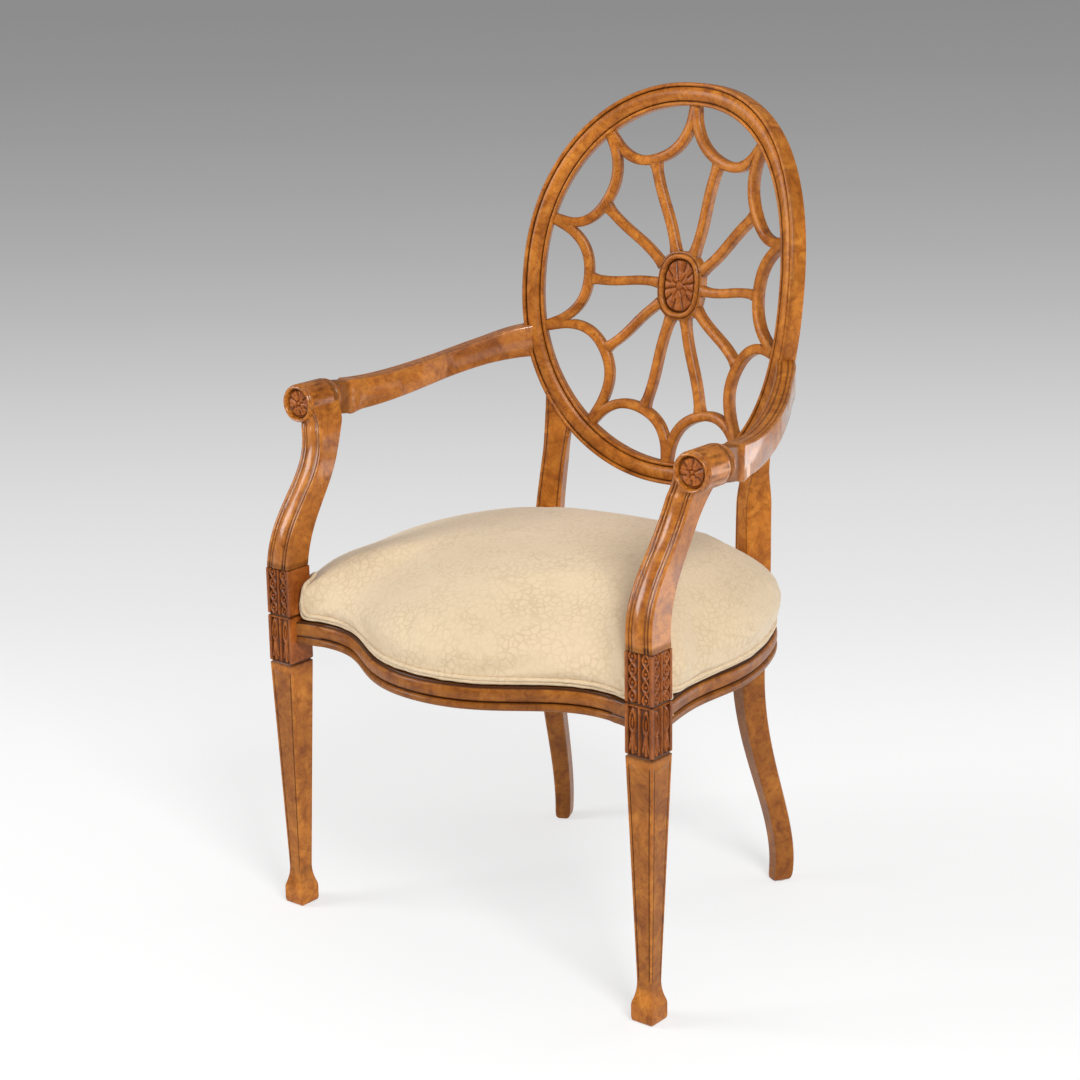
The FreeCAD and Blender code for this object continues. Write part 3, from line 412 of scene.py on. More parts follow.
def both_merged(name, node_name, polish, shapes, hollow=None):
    """Right and left unions of closed shapes, less a hollow; each is ((verts, faces), painted shade)."""
    for side, sign in SIDES:
        objects = [raw("raw", mirror(verts, sign), faces, painted_shade)
                   for (verts, faces), painted_shade in shapes + ([hollow] if hollow else [])]
        for other in objects[1:]:
            combine(objects[0], other, "DIFFERENCE" if hollow and other is objects[-1] else "UNION")
        made = baked(name + "_" + side, *objects)
        dress(made, "burl_wood", (node_name + "_" + side,), 32, polish)


def trim(obj, planes):
    """Keeps what lies on the inner side of each (point, outward normal) plane."""
    work = bmesh.new()
    work.from_mesh(obj.data)
    for point, normal in planes:
        bmesh.ops.bisect_plane(work, geom=work.verts[:] + work.edges[:] + work.faces[:], dist=1e-6,
                               plane_co=Vector(np.asarray(point) * MM), plane_no=Vector(normal),
                               clear_outer=True)
        bmesh.ops.holes_fill(work, edges=[e for e in work.edges if e.is_boundary], sides=0)
    bmesh.ops.recalc_face_normals(work, faces=work.faces)
    work.to_mesh(obj.data)
    work.free()
    obj.data.set_sharp_from_angle(angle=math.radians(35))


# The curved back: places and sections on it
def back_frame(x, t, depth):
    """Place at x across and t up the back, the way across there and the way into it."""
    x, t, depth = np.broadcast_arrays(*[np.asarray(v, float) for v in (x, t, depth)])
    turn = np.arcsin(x / BACK_RADIUS)
    deep = np.multiply.outer(np.sin(turn), X) - np.multiply.outer(np.cos(turn), BACK_AHEAD)
    across = np.multiply.outer(np.cos(turn), X) + np.multiply.outer(np.sin(turn), BACK_AHEAD)
    spot = (BACK_CENTRE + BACK_AHEAD * BACK_RADIUS + np.multiply.outer(t, BACK_UP)
            + deep * (BACK_RADIUS + depth)[..., None])
    return spot, across, deep


def on_back(spots, headings, depth, profile, widths=1.0):
    """Sections whose width runs along headings; profile rows are (width, depth)."""
    spot, across, deep = back_frame(spots[:, 0], spots[:, 1], depth)
    wide = across * headings[:, :1] + BACK_UP * headings[:, 1:]
    u = np.broadcast_to(widths, len(spots))[:, None] * profile[None, :, 0]
    return spot[:, None] + wide[:, None] * u[..., None] + deep[:, None] * profile[None, :, 1, None]


def crosswise(spots):
    ahead = slope(spots)
    return np.stack([-ahead[:, 1], ahead[:, 0]], 1)


def oval_way(degrees):
    a = np.radians(degrees)
    way = np.stack([np.cos(a), np.sin(a)], -1)
    return np.sign(way) * np.abs(way) ** (2 / OVAL_POWER)


def oval_at(inset, degrees):
    return oval_way(degrees) * np.array([OVAL_WIDE - inset, OVAL_HIGH - inset])


def moulded(u):
    """Front of the oval across its face: bead, quirk, swell, quirk, bead."""
    a = np.abs(u)
    bead = MOULD_DEEP - 2.0 * np.sqrt(np.clip(1 - ((a - BEAD_AT) / 2.3) ** 2, 0, 1))
    quirk = MOULD_DEEP + 1.6 * (1 - ((a - QUIRK_AT) / 0.62) ** 2)
    swell = MOULD_DEEP - MOULD_DEEP * np.clip(1 - (a / SWELL_HALF) ** 2, 0, 1) ** 0.75
    return np.where(a > 9.4, bead, np.where(a > SWELL_HALF, quirk, swell))


def oval_pieces():
    half = OVAL_FACE / 2
    u = np.concatenate([np.linspace(*run) for run in (
        (-14, -9.45, 12), (-9.35, -8.25, 6), (-8.1, 8.1, 25), (8.25, 9.35, 6), (9.45, 14, 12))])
    corner = np.array([(half, 8), (half, 19), (half - 0.8, 21.2), (half - 3, OVAL_THICK)])
    rear = np.concatenate([corner, [(0, OVAL_THICK)], (corner * (-1, 1))[::-1]])
    profile = np.concatenate([np.stack([u, moulded(u)], 1), rear])
    # Painted shade in the quirks and along the edges of the face, a little on the back
    shade = ridge(np.abs(u), QUIRK_AT, 0.7) + 0.35 * ridge(np.abs(u), half, 0.5)
    painted_shade = np.concatenate([shade, np.full(len(rear), 0.05)])
    for name, start, end in OVAL_SPANS:
        angles = np.linspace(start, end, int((end - start) / 1.25) + 1)[1:-1]
        angles = np.concatenate([[start, start + OVAL_TIP], angles, [end - OVAL_TIP, end]])
        rings = on_back(oval_at(half, angles), oval_way(angles), 0.0, profile)
        shade_rows = np.tile(painted_shade, (len(rings), 1))
        # Painted shade: the ends are darkened further where the spans meet
        for i in (0, -1):
            rings[i] += (rings[i].mean(0) - rings[i]) * 0.02
            shade_rows[i] += 0.5
        piece("moulded_" + name, sweep(rings), "burl_wood", (name,), shade_rows)


# Web of the back
def node_angle(k):
    half = len(WEB_NODES) - 1
    return WEB_NODES[k] if k <= half else 540 - WEB_NODES[2 * half - k]


def apex(k):
    j = min(k, 2 * len(APEX_REACH) - 1 - k)
    near, far = (node_angle(k), node_angle(k + 1)) if j == k else (node_angle(k + 1), node_angle(k))
    return oval_at(OVAL_FACE, mix(near, far, APEX_PLACE[j])) * APEX_REACH[j]


def web_profile():
    """Rounded front on flat sides, one unit wide, with its painted shade, darkest at the flanks of the front.
    """
    a = np.linspace(-1, 1, 15)
    front = np.stack([a * 0.5, 3.4 * (1 - np.sqrt(np.clip(1 - (a * 0.96) ** 2, 0, 1))) + 0.1], 1)
    rear = np.array([(0.5, 6), (0.5, 11.5), (0.42, WEB_THICK), (-0.42, WEB_THICK), (-0.5, 11.5), (-0.5, 6)])
    painted_shade = np.concatenate([0.45 * np.abs(a) ** 6, np.full(len(rear), 0.12)])
    return np.concatenate([front, rear]), painted_shade


def scallop_ends(k):
    """Where a scallop leaves the frame at either end, the way inward, and the way along the frame."""
    for side, angle in ((1, node_angle(k)), (-1, node_angle(k + 1))):
        rim = oval_at(OVAL_FACE, angle)
        along = unit(oval_at(OVAL_FACE, angle + 0.1) - oval_at(OVAL_FACE, angle - 0.1)) * side
        yield rim, unit(-rim), along


def node_plane(k):
    x, t = unit(oval_at(OVAL_FACE, node_angle(k)))
    return BACK_UP * x - X * t


def web_pieces():
    profile, shade = web_profile()
    for k in range(2 * len(APEX_REACH)):
        (a, into_a, along_a), (b, into_b, along_b) = scallop_ends(k)
        mid = apex(k)
        side_a, side_b = a + along_a * (STUB / 4), b + along_b * (STUB / 4)
        drop = np.linalg.norm(mid - (side_a + side_b) / 2) * SCALLOP_DROP
        span = np.linalg.norm(side_b - side_a)
        chord = (side_b - side_a) / span
        flat = chord * span * SCALLOP_FLAT
        t = np.linspace(0, 1, 26)
        first = bezier((a, side_a + into_a * drop, mid - flat, mid), t)
        second = bezier((b, side_b + into_b * drop, mid + flat, mid), t)
        spots = np.concatenate([[a - into_a * 2], first, second[-2::-1], [b - into_b * 2]])
        share = np.concatenate([[0], t, t[-2::-1], [0]])
        widths = mix(STUB, SCALLOP, ease(share * 3.5))
        rings = on_back(spots, crosswise(spots), WEB_RECESS, profile, widths)
        name = "web_scallop_%02d" % (k + 1)
        made = piece("carved_" + name, sweep(rings), "burl_wood", (name,), np.tile(shade, (len(rings), 1)))
        trim(made, [(BACK_CENTRE, -node_plane(k)), (BACK_CENTRE, node_plane(k + 1))])

        aim = unit(mid)
        across = np.array([-aim[1], aim[0]])
        way = unit(aim + across * (SPOKE_LEAVES[k] / boss_reach(aim)))
        start = way * (boss_reach(way) - 2.0)
        end = mid + chord * SPOKE_ENDS[k] + np.array([-chord[1], chord[0]]) * (SCALLOP / 2 - 2.5)
        s = np.linspace(0, 1, 34)
        spots = mix(start, end, s[:, None]) - np.outer(np.sin(2 * math.pi * s), across * SPOKE_WAVE)
        widths = SPOKE * (1 + 0.25 * ridge(s, 0, 0.07) + 0.35 * ridge(1 - s, 0, 0.06))
        rings = on_back(spots, crosswise(spots), WEB_RECESS + 0.25, profile, widths)
        name = "web_spoke_%02d" % (k + 1)
        # Painted shade: the spoke darkens where it meets the boss and the scallop
        shade_rows = np.tile(shade, (len(rings), 1)) + 0.4 * ridge(np.minimum(s, 1 - s), 0, 0.03)[:, None]
        piece("carved_" + name, sweep(rings), "burl_wood", (name,), shade_rows)


def boss_reach(way, wide=BOSS_WIDE, high=BOSS_HIGH):
    x, t = np.abs(way[..., 0]), np.abs(way[..., 1])
    return ((x / wide) ** BOSS_POWER + (t / high) ** BOSS_POWER) ** (-1 / BOSS_POWER)


def boss_ring(inset, depth, share=1.0):
    """Ring on the boss; one at a share of the way out grows rounder towards the middle."""
    a = turns(BOSS_SPOTS)
    way = np.stack([np.cos(a), np.sin(a)], 1)
    wide, high = BOSS_WIDE - inset, BOSS_HIGH - inset
    reach = share * mix(wide, boss_reach(way, wide, high), ease((share - 0.1) / 0.6))
    spot, across, deep = back_frame(0.0, 0.0, 0.0)
    return (spot + np.outer(way[:, 0] * reach, across) + np.outer(way[:, 1] * reach, BACK_UP)
            + np.outer(np.broadcast_to(depth, BOSS_SPOTS), deep))


def boss_piece():
    profile = [(1.0, 19.5), (0, 18.5), (0, 6.2), (0.8, 5.2), (2.4, 4.9), (2.9, 5.4), (3.3, 4.6), (4.2, 3.2),
               (5.6, 2.5), (7.2, 2.6), (8.6, 3.4), (9.4, 4.8), (9.8, 6.4), (10.0, 9.2)]
    # Painted shade: darkest in the groove near the outer edge and down the inner wall into the hollow
    dark = [0, 0.1, 0.1, 0.2, 0.6, 0.9, 0.5, 0.1, 0, 0, 0.15, 0.4, 0.8, 1.0]
    shape = sweep([boss_ring(inset, depth) for inset, depth in profile])
    piece("carved_boss", shape, "burl_wood", ("web_boss",), np.repeat(dark, BOSS_SPOTS))

    a = turns(BOSS_SPOTS)
    inset = BOSS_RIM + 0.3
    rings, dark = [boss_ring(inset, 8.5)], [np.ones(BOSS_SPOTS)]
    for r in np.linspace(0.98, 0.03, 44):
        outer = ease((r - 0.5) / 0.08) * ease((1.0 - r) / 0.1) * np.abs(np.cos(a * 6)) ** 0.5
        inner = ease((r - 0.22) / 0.06) * ease((0.58 - r) / 0.08) * np.abs(np.cos(a * 4 + 0.4)) ** 0.5
        button = np.sqrt(np.clip(1 - (r / 0.24) ** 2, 0, 1))
        height = 0.6 + 2.6 * outer + 3.2 * inner + 4.2 * button
        rings.append(boss_ring(inset, 8.4 - height, r))
        # Painted shade: the low ground between the petals is darker than the raised petals and button
        dark.append(0.85 - 0.8 * np.clip(height - 0.6, 0, 2.0) / 2.0)
    piece("carved_patera", sweep(rings), "carved_wood", ("boss_patera",), np.concatenate(dark), 60)


# Front legs with carved blocks
def upper_carving(u, w):
    """Two strips of linked loops between ribs; u across, w up."""
    strip = np.abs(u) - STRIP_X
    ribs = np.maximum(np.exp(-(u / 1.3) ** 4), ease((np.abs(u) - 16.2) / 0.8))
    pitch = 15.0
    along = (w + np.where(u > 0, 2.5, 0.0) - 1.5) / pitch
    chain = ridge(np.abs(strip), 4.4 * np.abs(np.sin(math.pi * along)), 1.35)
    eye = np.exp(-(np.hypot(strip, (along % 1.0 - 0.5) * pitch) / 1.9) ** 4)
    return np.clip(np.maximum.reduce([ribs, chain, 0.9 * eye]), 0, 1)


def lower_carving(u, w):
    """Tall loops above, spreading leaves below."""
    strip = np.abs(u) - STRIP_X
    ribs = np.maximum(np.exp(-(u / 1.2) ** 4), ease((np.abs(u) - 16.4) / 0.8))
    fold = np.hypot(strip / mix(5.2, 3.4, np.clip((w - 26.0) / 28.0, 0, 1)), (w - 40.0) / 14.5)
    loop = ridge(fold, 0.85, 0.2)
    seed = np.exp(-(np.hypot(strip / 1.5, (w - 38.0) / 7.0)) ** 4)
    low = np.clip((27.0 - w) / 25.0, 0, 1)
    leaves = ridge(np.abs(strip), 1.0 + 4.6 * low ** 1.3, 1.4) + ridge(strip, 0, 0.8 + 1.3 * low)
    leaves = leaves * ease((28.0 - w) / 3.0) * ease((w - 1.0 - 0.25 * strip ** 2 * low) / 2.0)
    return np.clip(np.maximum.reduce([ribs, loop, 0.9 * seed, leaves, ridge(w, 57.6, 0.8)]), 0, 1)


def plain_face(u, w):
    return np.ones_like(u)


def carved_panel(name, low, high, relief, centre, across, out):
    """Slab on one face of a block, its front raised by a relief of 0 to 1."""
    half, gap = BLOCK / 2, 1.2
    u, w = np.meshgrid(np.linspace(-half + 0.05, half - 0.05, 91), np.linspace(gap, high - low - gap, 130))
    raised = relief(u, w) * ease(np.minimum(w - gap, high - low - gap - w) / 0.7)
    spots = centre + u[..., None] * across + (low + w)[..., None] * Z
    verts = (spots + (half - CARVED_DEEP * (1 - raised))[..., None] * out).reshape(-1, 3)
    grid = np.arange(u.size).reshape(u.shape)
    quads = np.stack([grid[:-1, :-1], grid[:-1, 1:], grid[1:, 1:], grid[1:, :-1]], -1).reshape(-1, 4)
    rim = np.concatenate([grid[0, :-1], grid[:-1, -1], grid[-1, :0:-1], grid[:0:-1, 0]])
    behind = verts[rim] - np.outer((verts[rim] - centre) @ out - (half - CARVED_DEEP - 1.2), out)
    back = np.arange(len(rim)) + len(verts)
    walls = np.stack([rim, np.roll(rim, -1), np.roll(back, -1), back], -1)
    faces = quads.tolist() + walls.tolist() + [back.tolist()]
    # Painted shade: the sunk ground between the raised carving is darker, and the hidden back walls too
    shade = np.concatenate([(0.8 * (1 - raised) ** 1.2).ravel(), np.full(len(rim), 0.6)])
    piece(name, (np.concatenate([verts, behind]), faces), "carved_wood", (), shade, 70)


def leg_ring(z, side, cut, groove=0.0):
    """Square section of the leg with eased corners and fine grooves near the edges of two faces."""
    h = side / 2
    g = h - 4.2 * min(1.0, side / 30.0)
    run = ((-h + cut, 0), (-g - 0.9, 0), (-g, groove), (-g + 0.9, 0),
           (g - 0.9, 0), (g, groove), (g + 0.9, 0), (h - cut, 0))
    plan = ([(a, -h + d) for a, d in run] + [(h - d, a) for a, d in run]
            + [(h - cut, h), (-h + cut, h), (-h, h - cut), (-h, -h + cut)])
    return [(LEG_X + x, LEG_Y + y, z) for x, y in plan]


def front_legs():
    marks = ((GLIDE, 27.4), (2.5, 28.8), (4.5, 29.7), (7, 30.0), (20, 30.0), (23, 29.4), (26, 27.8),
             (29, 25.8), (33, 23.6), (38, 21.6), (43, 20.5), (48, 20.0), (60, 20.6), (319, 37.0))
    heights = np.concatenate([np.linspace(GLIDE, 60, 48), np.linspace(64, 300, 24),
                              [304, 308, 312, 316, 319]])
    rings, dark = [], []
    for z, side in zip(heights, np.interp(heights, *np.transpose(marks))):
        groove = 1.1 * float(ease((z - 48) / 8) * ease((312 - z) / 4))
        rings.append(leg_ring(z, side, 0.8, groove))
        # Painted shade at the narrow neck above the foot, in the grooves and just under the block
        shade = np.full(20, 0.35 * ridge(z, 46, 6.0))
        shade[[2, 5, 10, 13]] += groove
        shade[[1, 3, 4, 6, 9, 11, 12, 14]] += 0.25 * groove
        dark.append(shade + 0.6 * ridge(z, 319, 2.0))
    core = BLOCK - 7.0
    # Painted shade on the block's core and rims, seen in the gaps between the carved panels
    for z, side, shade in ((320, 34, 0.9), (321, 33, 1.0), (322.4, 33, 1.0), (323, core, 0.9),
                           (379, core, 0.9), (379.8, 33, 1.0), (382.2, 33, 1.0), (383, core, 0.9),
                           (439, core, 0.9), (439.8, 34, 0.9), (441, 34, 0.8)):
        rings.append(leg_ring(z, side, 0.6))
        dark.append(np.full(20, shade))
    both("leg", sweep(rings), "burl_wood", "front_leg", np.array(dark))
    for side, sign in SIDES:
        centre = np.array([sign * LEG_X, LEG_Y, 0.0])
        for face, across, out in (("front", X, -Y), ("outer", Y, sign * X),
                                  ("inner", Y, -sign * X), ("rear", X, Y)):
            for level, low, high, relief in (("lower", BLOCK_LOW, BLOCK_SPLIT, lower_carving),
                                             ("upper", BLOCK_SPLIT, BLOCK_TOP, upper_carving)):
                relief = relief if face in ("front", "outer") else plain_face
                carved_panel("carving_%s_%s_%s" % (side, face, level), low, high, relief, centre, across, out)


# Arm supports, rolls and rosettes
def support_rings(levels):
    """Sections from the block up into the roll, moulded in front, and the painted shade of one section."""
    leg_front = LEG_Y - BLOCK / 2
    leg_back = leg_front + BLOCK
    bend = ROLL_Z - 100.0
    front = at_height(((leg_front, BLOCK_TOP), (leg_front, BLOCK_TOP + 86), (ROLL_FRONT + 16, bend + 10),
                       (ROLL_FRONT + 1, ROLL_Z)), levels)
    rear = at_height(((leg_back, BLOCK_TOP), (leg_back + 3, BLOCK_TOP + 75.2), (ROLL_BACK - 12, bend + 8),
                      (ROLL_BACK, ROLL_Z)), levels)
    rear = rear + 7.0 * np.clip((levels - ROLL_Z + 62) / 40, 0, 1) ** 2
    top_x = ROLL_X - ROLL_R + SUPPORT_TOP_WIDE / 2 + 0.8
    middle = at_height(((LEG_X, BLOCK_TOP), (LEG_X - 7.5, BLOCK_TOP + 78.96), (top_x - 25, ROLL_Z - 50),
                        (top_x, ROLL_Z)), levels)
    half = mix(SUPPORT_LOW_WIDE, SUPPORT_TOP_WIDE, (levels - BLOCK_TOP) / (ROLL_Z - BLOCK_TOP)) / 2
    rings = []
    s = np.linspace(-1, 1, 49)
    for z, f, r, x, h in zip(levels, front, rear, middle, half):
        a = np.abs(s) * h
        reeds = 1.5 * ridge(a, h - REED_OUT, 0.75) + 1.2 * ridge(a, h - REED_IN, 0.75)
        bead = 1.3 * ease((a - (h - 2.2)) / 2.2) - 1.5 * np.clip(1 - (a / (h - 9.6)) ** 2, 0, 1)
        back_set = 2.2 * ease((z - (ROLL_Z - ROLL_R - 9)) / 10)
        u = np.concatenate([s * h, [h, h - 1.5, -h + 1.5, -h]])
        v = np.concatenate([f + reeds + bead + back_set, [r - 1.5, r, r, r - 1.5]])
        rings.append(np.column_stack([x + u, v, np.full(len(u), z)]))
    a = np.abs(s) * 17.0
    # Painted shade in the two grooves of the front
    shade = ridge(a, 17 - REED_OUT, 0.9) + 0.9 * ridge(a, 17 - REED_IN, 0.9)
    return rings, np.concatenate([0.85 * shade, np.zeros(4)])


def supports():
    rings, shade = support_rings(np.linspace(BLOCK_TOP, ROLL_Z, 46))
    body_shade = np.tile(shade, (len(rings), 1))
    # Painted shade at the foot of the support, where it meets the block
    body_shade[:2] += 0.5
    r = ROLL_R
    profile = [(0.4, 5.2), (18.0, 5.2), (18.3, 1.0), (18.6, -0.9), (19.4, -2.0), (20.5, -2.5), (21.6, -2.1),
               (22.4, -1.0), (22.7, 0.2), (22.4, 1.0), (22.9, 1.7), (r, 3.0), (r, 6.0), (r, 22), (r, 38),
               (r, 40.5), (r - 0.6, 41.6), (r - 1.6, 42.0), (0.4, 42.0)]
    # Painted shade on the roll: darkest in the recess and the groove round its rim, and at the back
    dark = [1, 1, 0.8, 0.3, 0.1, 0, 0.1, 0.4, 0.9, 1, 0.6, 0.1, 0, 0, 0, 0.1, 0.4, 0.6, 0.6]
    centre = (ROLL_X, ROLL_FRONT, ROLL_Z)
    roll = (lathe(profile, centre), np.repeat(dark, ROLL_SPOTS))
    # Painted shade: the cut face of the recess is fully darkened
    recess = (lathe([(18.2, -12.0), (18.2, 5.1)], centre), np.ones(2 * ROLL_SPOTS))
    both_merged("support", "arm_support", 0.5, [(sweep(rings), body_shade), roll], recess)


def rosettes():
    a = turns(ROSETTE_SPOTS)

    def ring(share, height):
        r = share * ROSETTE_R
        depth = np.broadcast_to(ROLL_FRONT + 5.0 - height, ROSETTE_SPOTS)
        return np.column_stack([ROLL_X + r * np.cos(a), depth, ROLL_Z + r * np.sin(a)])

    rings, dark = [ring(1.0, -0.1)], [np.ones(ROSETTE_SPOTS)]
    for share in np.linspace(1.0, 0.03, 40):
        outer = ease((share - 0.42) / 0.08) * ease((0.9 - share) / 0.06)
        petals = outer * np.abs(np.cos(a * 3 + 0.5 * share)) ** 0.5
        vein = 1 - 0.35 * ridge(np.sin(a * 6 + share), 0, 0.3)
        inner = ease((share - 0.16) / 0.06) * ease((0.5 - share) / 0.08)
        inner = inner * np.abs(np.cos(a * 2.5 + 0.6)) ** 0.5
        button = math.sqrt(max(0.0, 1 - (share / 0.17) ** 2))
        height = 0.8 + 2.6 * petals * vein + 3.1 * inner + 3.6 * button + 1.6 * ridge(share, 0.95, 0.035)
        rings.append(ring(share, height))
        # Painted shade: the low ground is darker than the raised petals and button
        dark.append(0.85 - 0.8 * np.clip((height - 0.8) / 2.2, 0, 1))
    both("rosette", sweep(rings), "carved_wood", "arm_rosette", np.concatenate(dark), 60)


# Arms
def arms():
    spot, across, _ = back_frame(*oval_at(0, ARM_JOIN), OVAL_THICK / 2)
    start = np.array([ROLL_X + 2, ROLL_BACK + COLLAR_LONG / 2, ROLL_Z])
    end = spot - across * (OVAL_FACE / 4)
    t = np.concatenate([np.linspace(0, 0.13, 24), np.linspace(0.14, 1, 50)])
    spots = bezier((start, start + ARM_LEAVES, end + ARM_ENDS, end), t)
    side = unit(np.cross(slope(spots), Z))
    step = ease((t - 0.085) / 0.025)
    inner = mix(12.0, 9.5, ease(t * 2 - 1))
    outer = mix(7.5, inner + 4.0 * ease((t - 0.72) / 0.2), step)
    high = np.interp(t, *np.transpose(ARM_HIGH)) / 2 - 1.6 * (1 - step)
    reeded = ease((t - 0.1) * 14)
    slim = 4.0 * reeded * (1 - ease((t - 0.55) / 0.4))
    s = np.linspace(-1, 1, 27)
    rounded = 2.6 * np.clip((np.abs(s) - 0.78) / 0.22, 0, 1) ** 2
    reeds = 1.3 * ridge(np.abs(s), 0.34, 0.075) + 1.0 * ridge(np.abs(s), 0.74, 0.07)
    rings = []
    for p, a, i, o, h, share, raised in zip(spots, side, inner, outer, high, reeded, slim):
        u = np.concatenate([s, s[::-1]])
        u = np.where(u > 0, u * o, u * i)
        v = np.concatenate([h - rounded - share * reeds, raised - h + rounded])
        rings.append(p + np.outer(u, a) + np.outer(v, Z))
    # Painted shade in the grooves between the reeds
    shade = 0.8 * ridge(np.abs(s), 0.34, 0.08) + 0.7 * ridge(np.abs(s), 0.74, 0.07)
    dark = np.tile(np.concatenate([shade, np.zeros(len(s))]), (len(rings), 1)) * reeded[:, None]
    # Painted shade at the arm's narrow neck behind the collar
    dark += 0.6 * (1 - ease((t - 0.08) / 0.03))[:, None]
    profile = ((23.1, 0.3), (2.2, 0.3), (2.0, 0.6), (0.6, 1.4), (0, 3.0), (0.6, 4.6), (1.9, 5.5), (2.6, 5.9),
               (2.2, 6.3), (1.4, 7.2), (1.1, 8.6), (1.7, 10.0), (2.9, 10.8), (3.6, 11.1), (3.3, 11.8),
               (3.3, 13.4), (4.2, 14.6), (6.0, 15.4), (23.1, 15.4))
    # Painted shade on the collar: dark in its grooves, light on its beads
    tone = [1, 1, 0.9, 0.3, 0.1, 0.3, 0.9, 1, 0.9, 0.35, 0.15, 0.35, 0.9, 1, 0.7, 0.4, 0.5, 0.7, 0.7]
    collar = lathe([(ROLL_R - inset, along) for inset, along in profile], (ROLL_X, ROLL_BACK, ROLL_Z))
    both_merged("band", "arm", 1.0, [(sweep(rings), dark), (collar, np.repeat(tone, ROLL_SPOTS))])


# Rear legs and posts
def rear_legs():
    spot, _, _ = back_frame(*(oval_at(0, POST_JOIN) * (-1, 1)), OVAL_THICK / 2)
    top = spot + BACK_UP * (OVAL_FACE / 2)
    foot, hip = np.array(REAR_FOOT), np.array([REAR_X, REAR_Y])
    bends = [(*mix(hip, foot, share), z) for share, z in (FOOT_BEND, KNEE_BEND)]
    t = np.concatenate([[0, 0.004, 0.01, 0.02], np.linspace(0.035, 1, 31)])
    low = bezier(((*foot, GLIDE), *bends, (*hip, RAIL_LOW)), t)
    high = bezier(((*hip, RAIL_TOP), (REAR_X, REAR_Y + 2, mix(RAIL_TOP, top[2], 0.38)),
                   (top[0] - 5, top[1] - 6, mix(RAIL_TOP, top[2], 0.68)), top), t)
    spots = np.concatenate([low, high])
    wide = np.concatenate([mix(20.0, 30.5, t),
                           mix(mix(32.5, 30.0, ease(t * 8 / 5)), 37.0, ease((t * 8 - 5) / 3))])
    deep = np.concatenate([mix(26.0, 32.5, ease(t * 1.3 - 0.3)), mix(34.0, 18.0, ease((t * 8 - 4) / 3))])
    across = np.array([math.cos(REAR_TURN), -math.sin(REAR_TURN), 0])
    inward = np.array([math.sin(REAR_TURN), math.cos(REAR_TURN), 0])
    s = np.linspace(-1, 1, 31)
    rings, dark = [], []
    for p, w, d in zip(spots, wide / 2, deep / 2):
        groove = 1.1 * float(ease((p[2] - 425) / 20))
        a = np.abs(s) * w
        cut = ridge(a, w - 4.2, 0.8)
        front = -d + groove * cut + 2.0 * ease((a - (w - 2.0)) / 2.0)
        u = np.concatenate([s * w, [w, w - 2, -w + 2, -w]])
        v = np.concatenate([front, [d - 2, d, d, d - 2]]) + 1.6 * ease((p[2] - 540) / 30)
        rings.append(p + np.outer(u, across) + np.outer(v, inward))
        # Painted shade in the groove of the post and over the lower leg beneath the seat
        dark.append(np.concatenate([0.85 * cut * groove, np.zeros(4)]) + 0.28 * ease((380 - p[2]) / 40))
    for i, tuck in enumerate((3.6, 1.9, 0.9, 0.3)):
        rings[i] += unit(rings[i].mean(0) - rings[i]) * tuck
    reach = np.abs((rings[-1] - BACK_CENTRE)[:, 0])
    level = (rings[-1] - BACK_CENTRE) @ BACK_UP
    inset = OVAL_FACE / 2
    seat = -(OVAL_HIGH - inset) * (1 - (reach / (OVAL_WIDE - inset)) ** OVAL_POWER) ** (1 / OVAL_POWER)
    for i in range(8):
        rings[-1 - i] += np.outer((seat - level) * (1 - i / 8), BACK_UP)
    both("post", sweep(rings), "burl_wood", "rear_leg", np.array(dark))


# Seat rails
def front_edge(shares):
    """Serpentine front line from the left leg at -1 to the right leg at 1."""
    end_x, end_y = LEG_X - BLOCK / 2 + 8, LEG_Y - BLOCK / 2 + 6
    bow = ((0, BOW_Y), (HOLLOW_X * 0.51, BOW_Y), (HOLLOW_X * 0.63, HOLLOW_Y), (HOLLOW_X, HOLLOW_Y))
    ear = ((HOLLOW_X, HOLLOW_Y), (mix(HOLLOW_X, end_x, 0.4), HOLLOW_Y),
           (mix(HOLLOW_X, end_x, 0.7), HOLLOW_Y - 3), (end_x, end_y))
    s = np.abs(shares)
    spots = np.where((s < HOLLOW_SHARE)[:, None], bezier(bow, s / HOLLOW_SHARE),
                     bezier(ear, (s - HOLLOW_SHARE) / (1 - HOLLOW_SHARE)))
    return np.column_stack([np.copysign(spots[:, 0], shares), spots[:, 1], np.zeros(len(s))])


def side_edge(count):
    """Line of the right side rail from the front leg to the rear leg."""
    return spline([(LEG_X + BLOCK / 2 - 1, LEG_Y + BLOCK / 2 - 12, 0), (271.5, -104.0, 0),
                   (BULGE_X, BULGE_Y, 0), (mix(BULGE_X, REAR_X, 0.16), mix(BULGE_Y, REAR_Y, 0.46), 0),
                   (mix(BULGE_X, REAR_X, 0.5), mix(BULGE_Y, REAR_Y, 0.83), 0),
                   (REAR_X + 18.3, REAR_Y + 4, 0)], count)


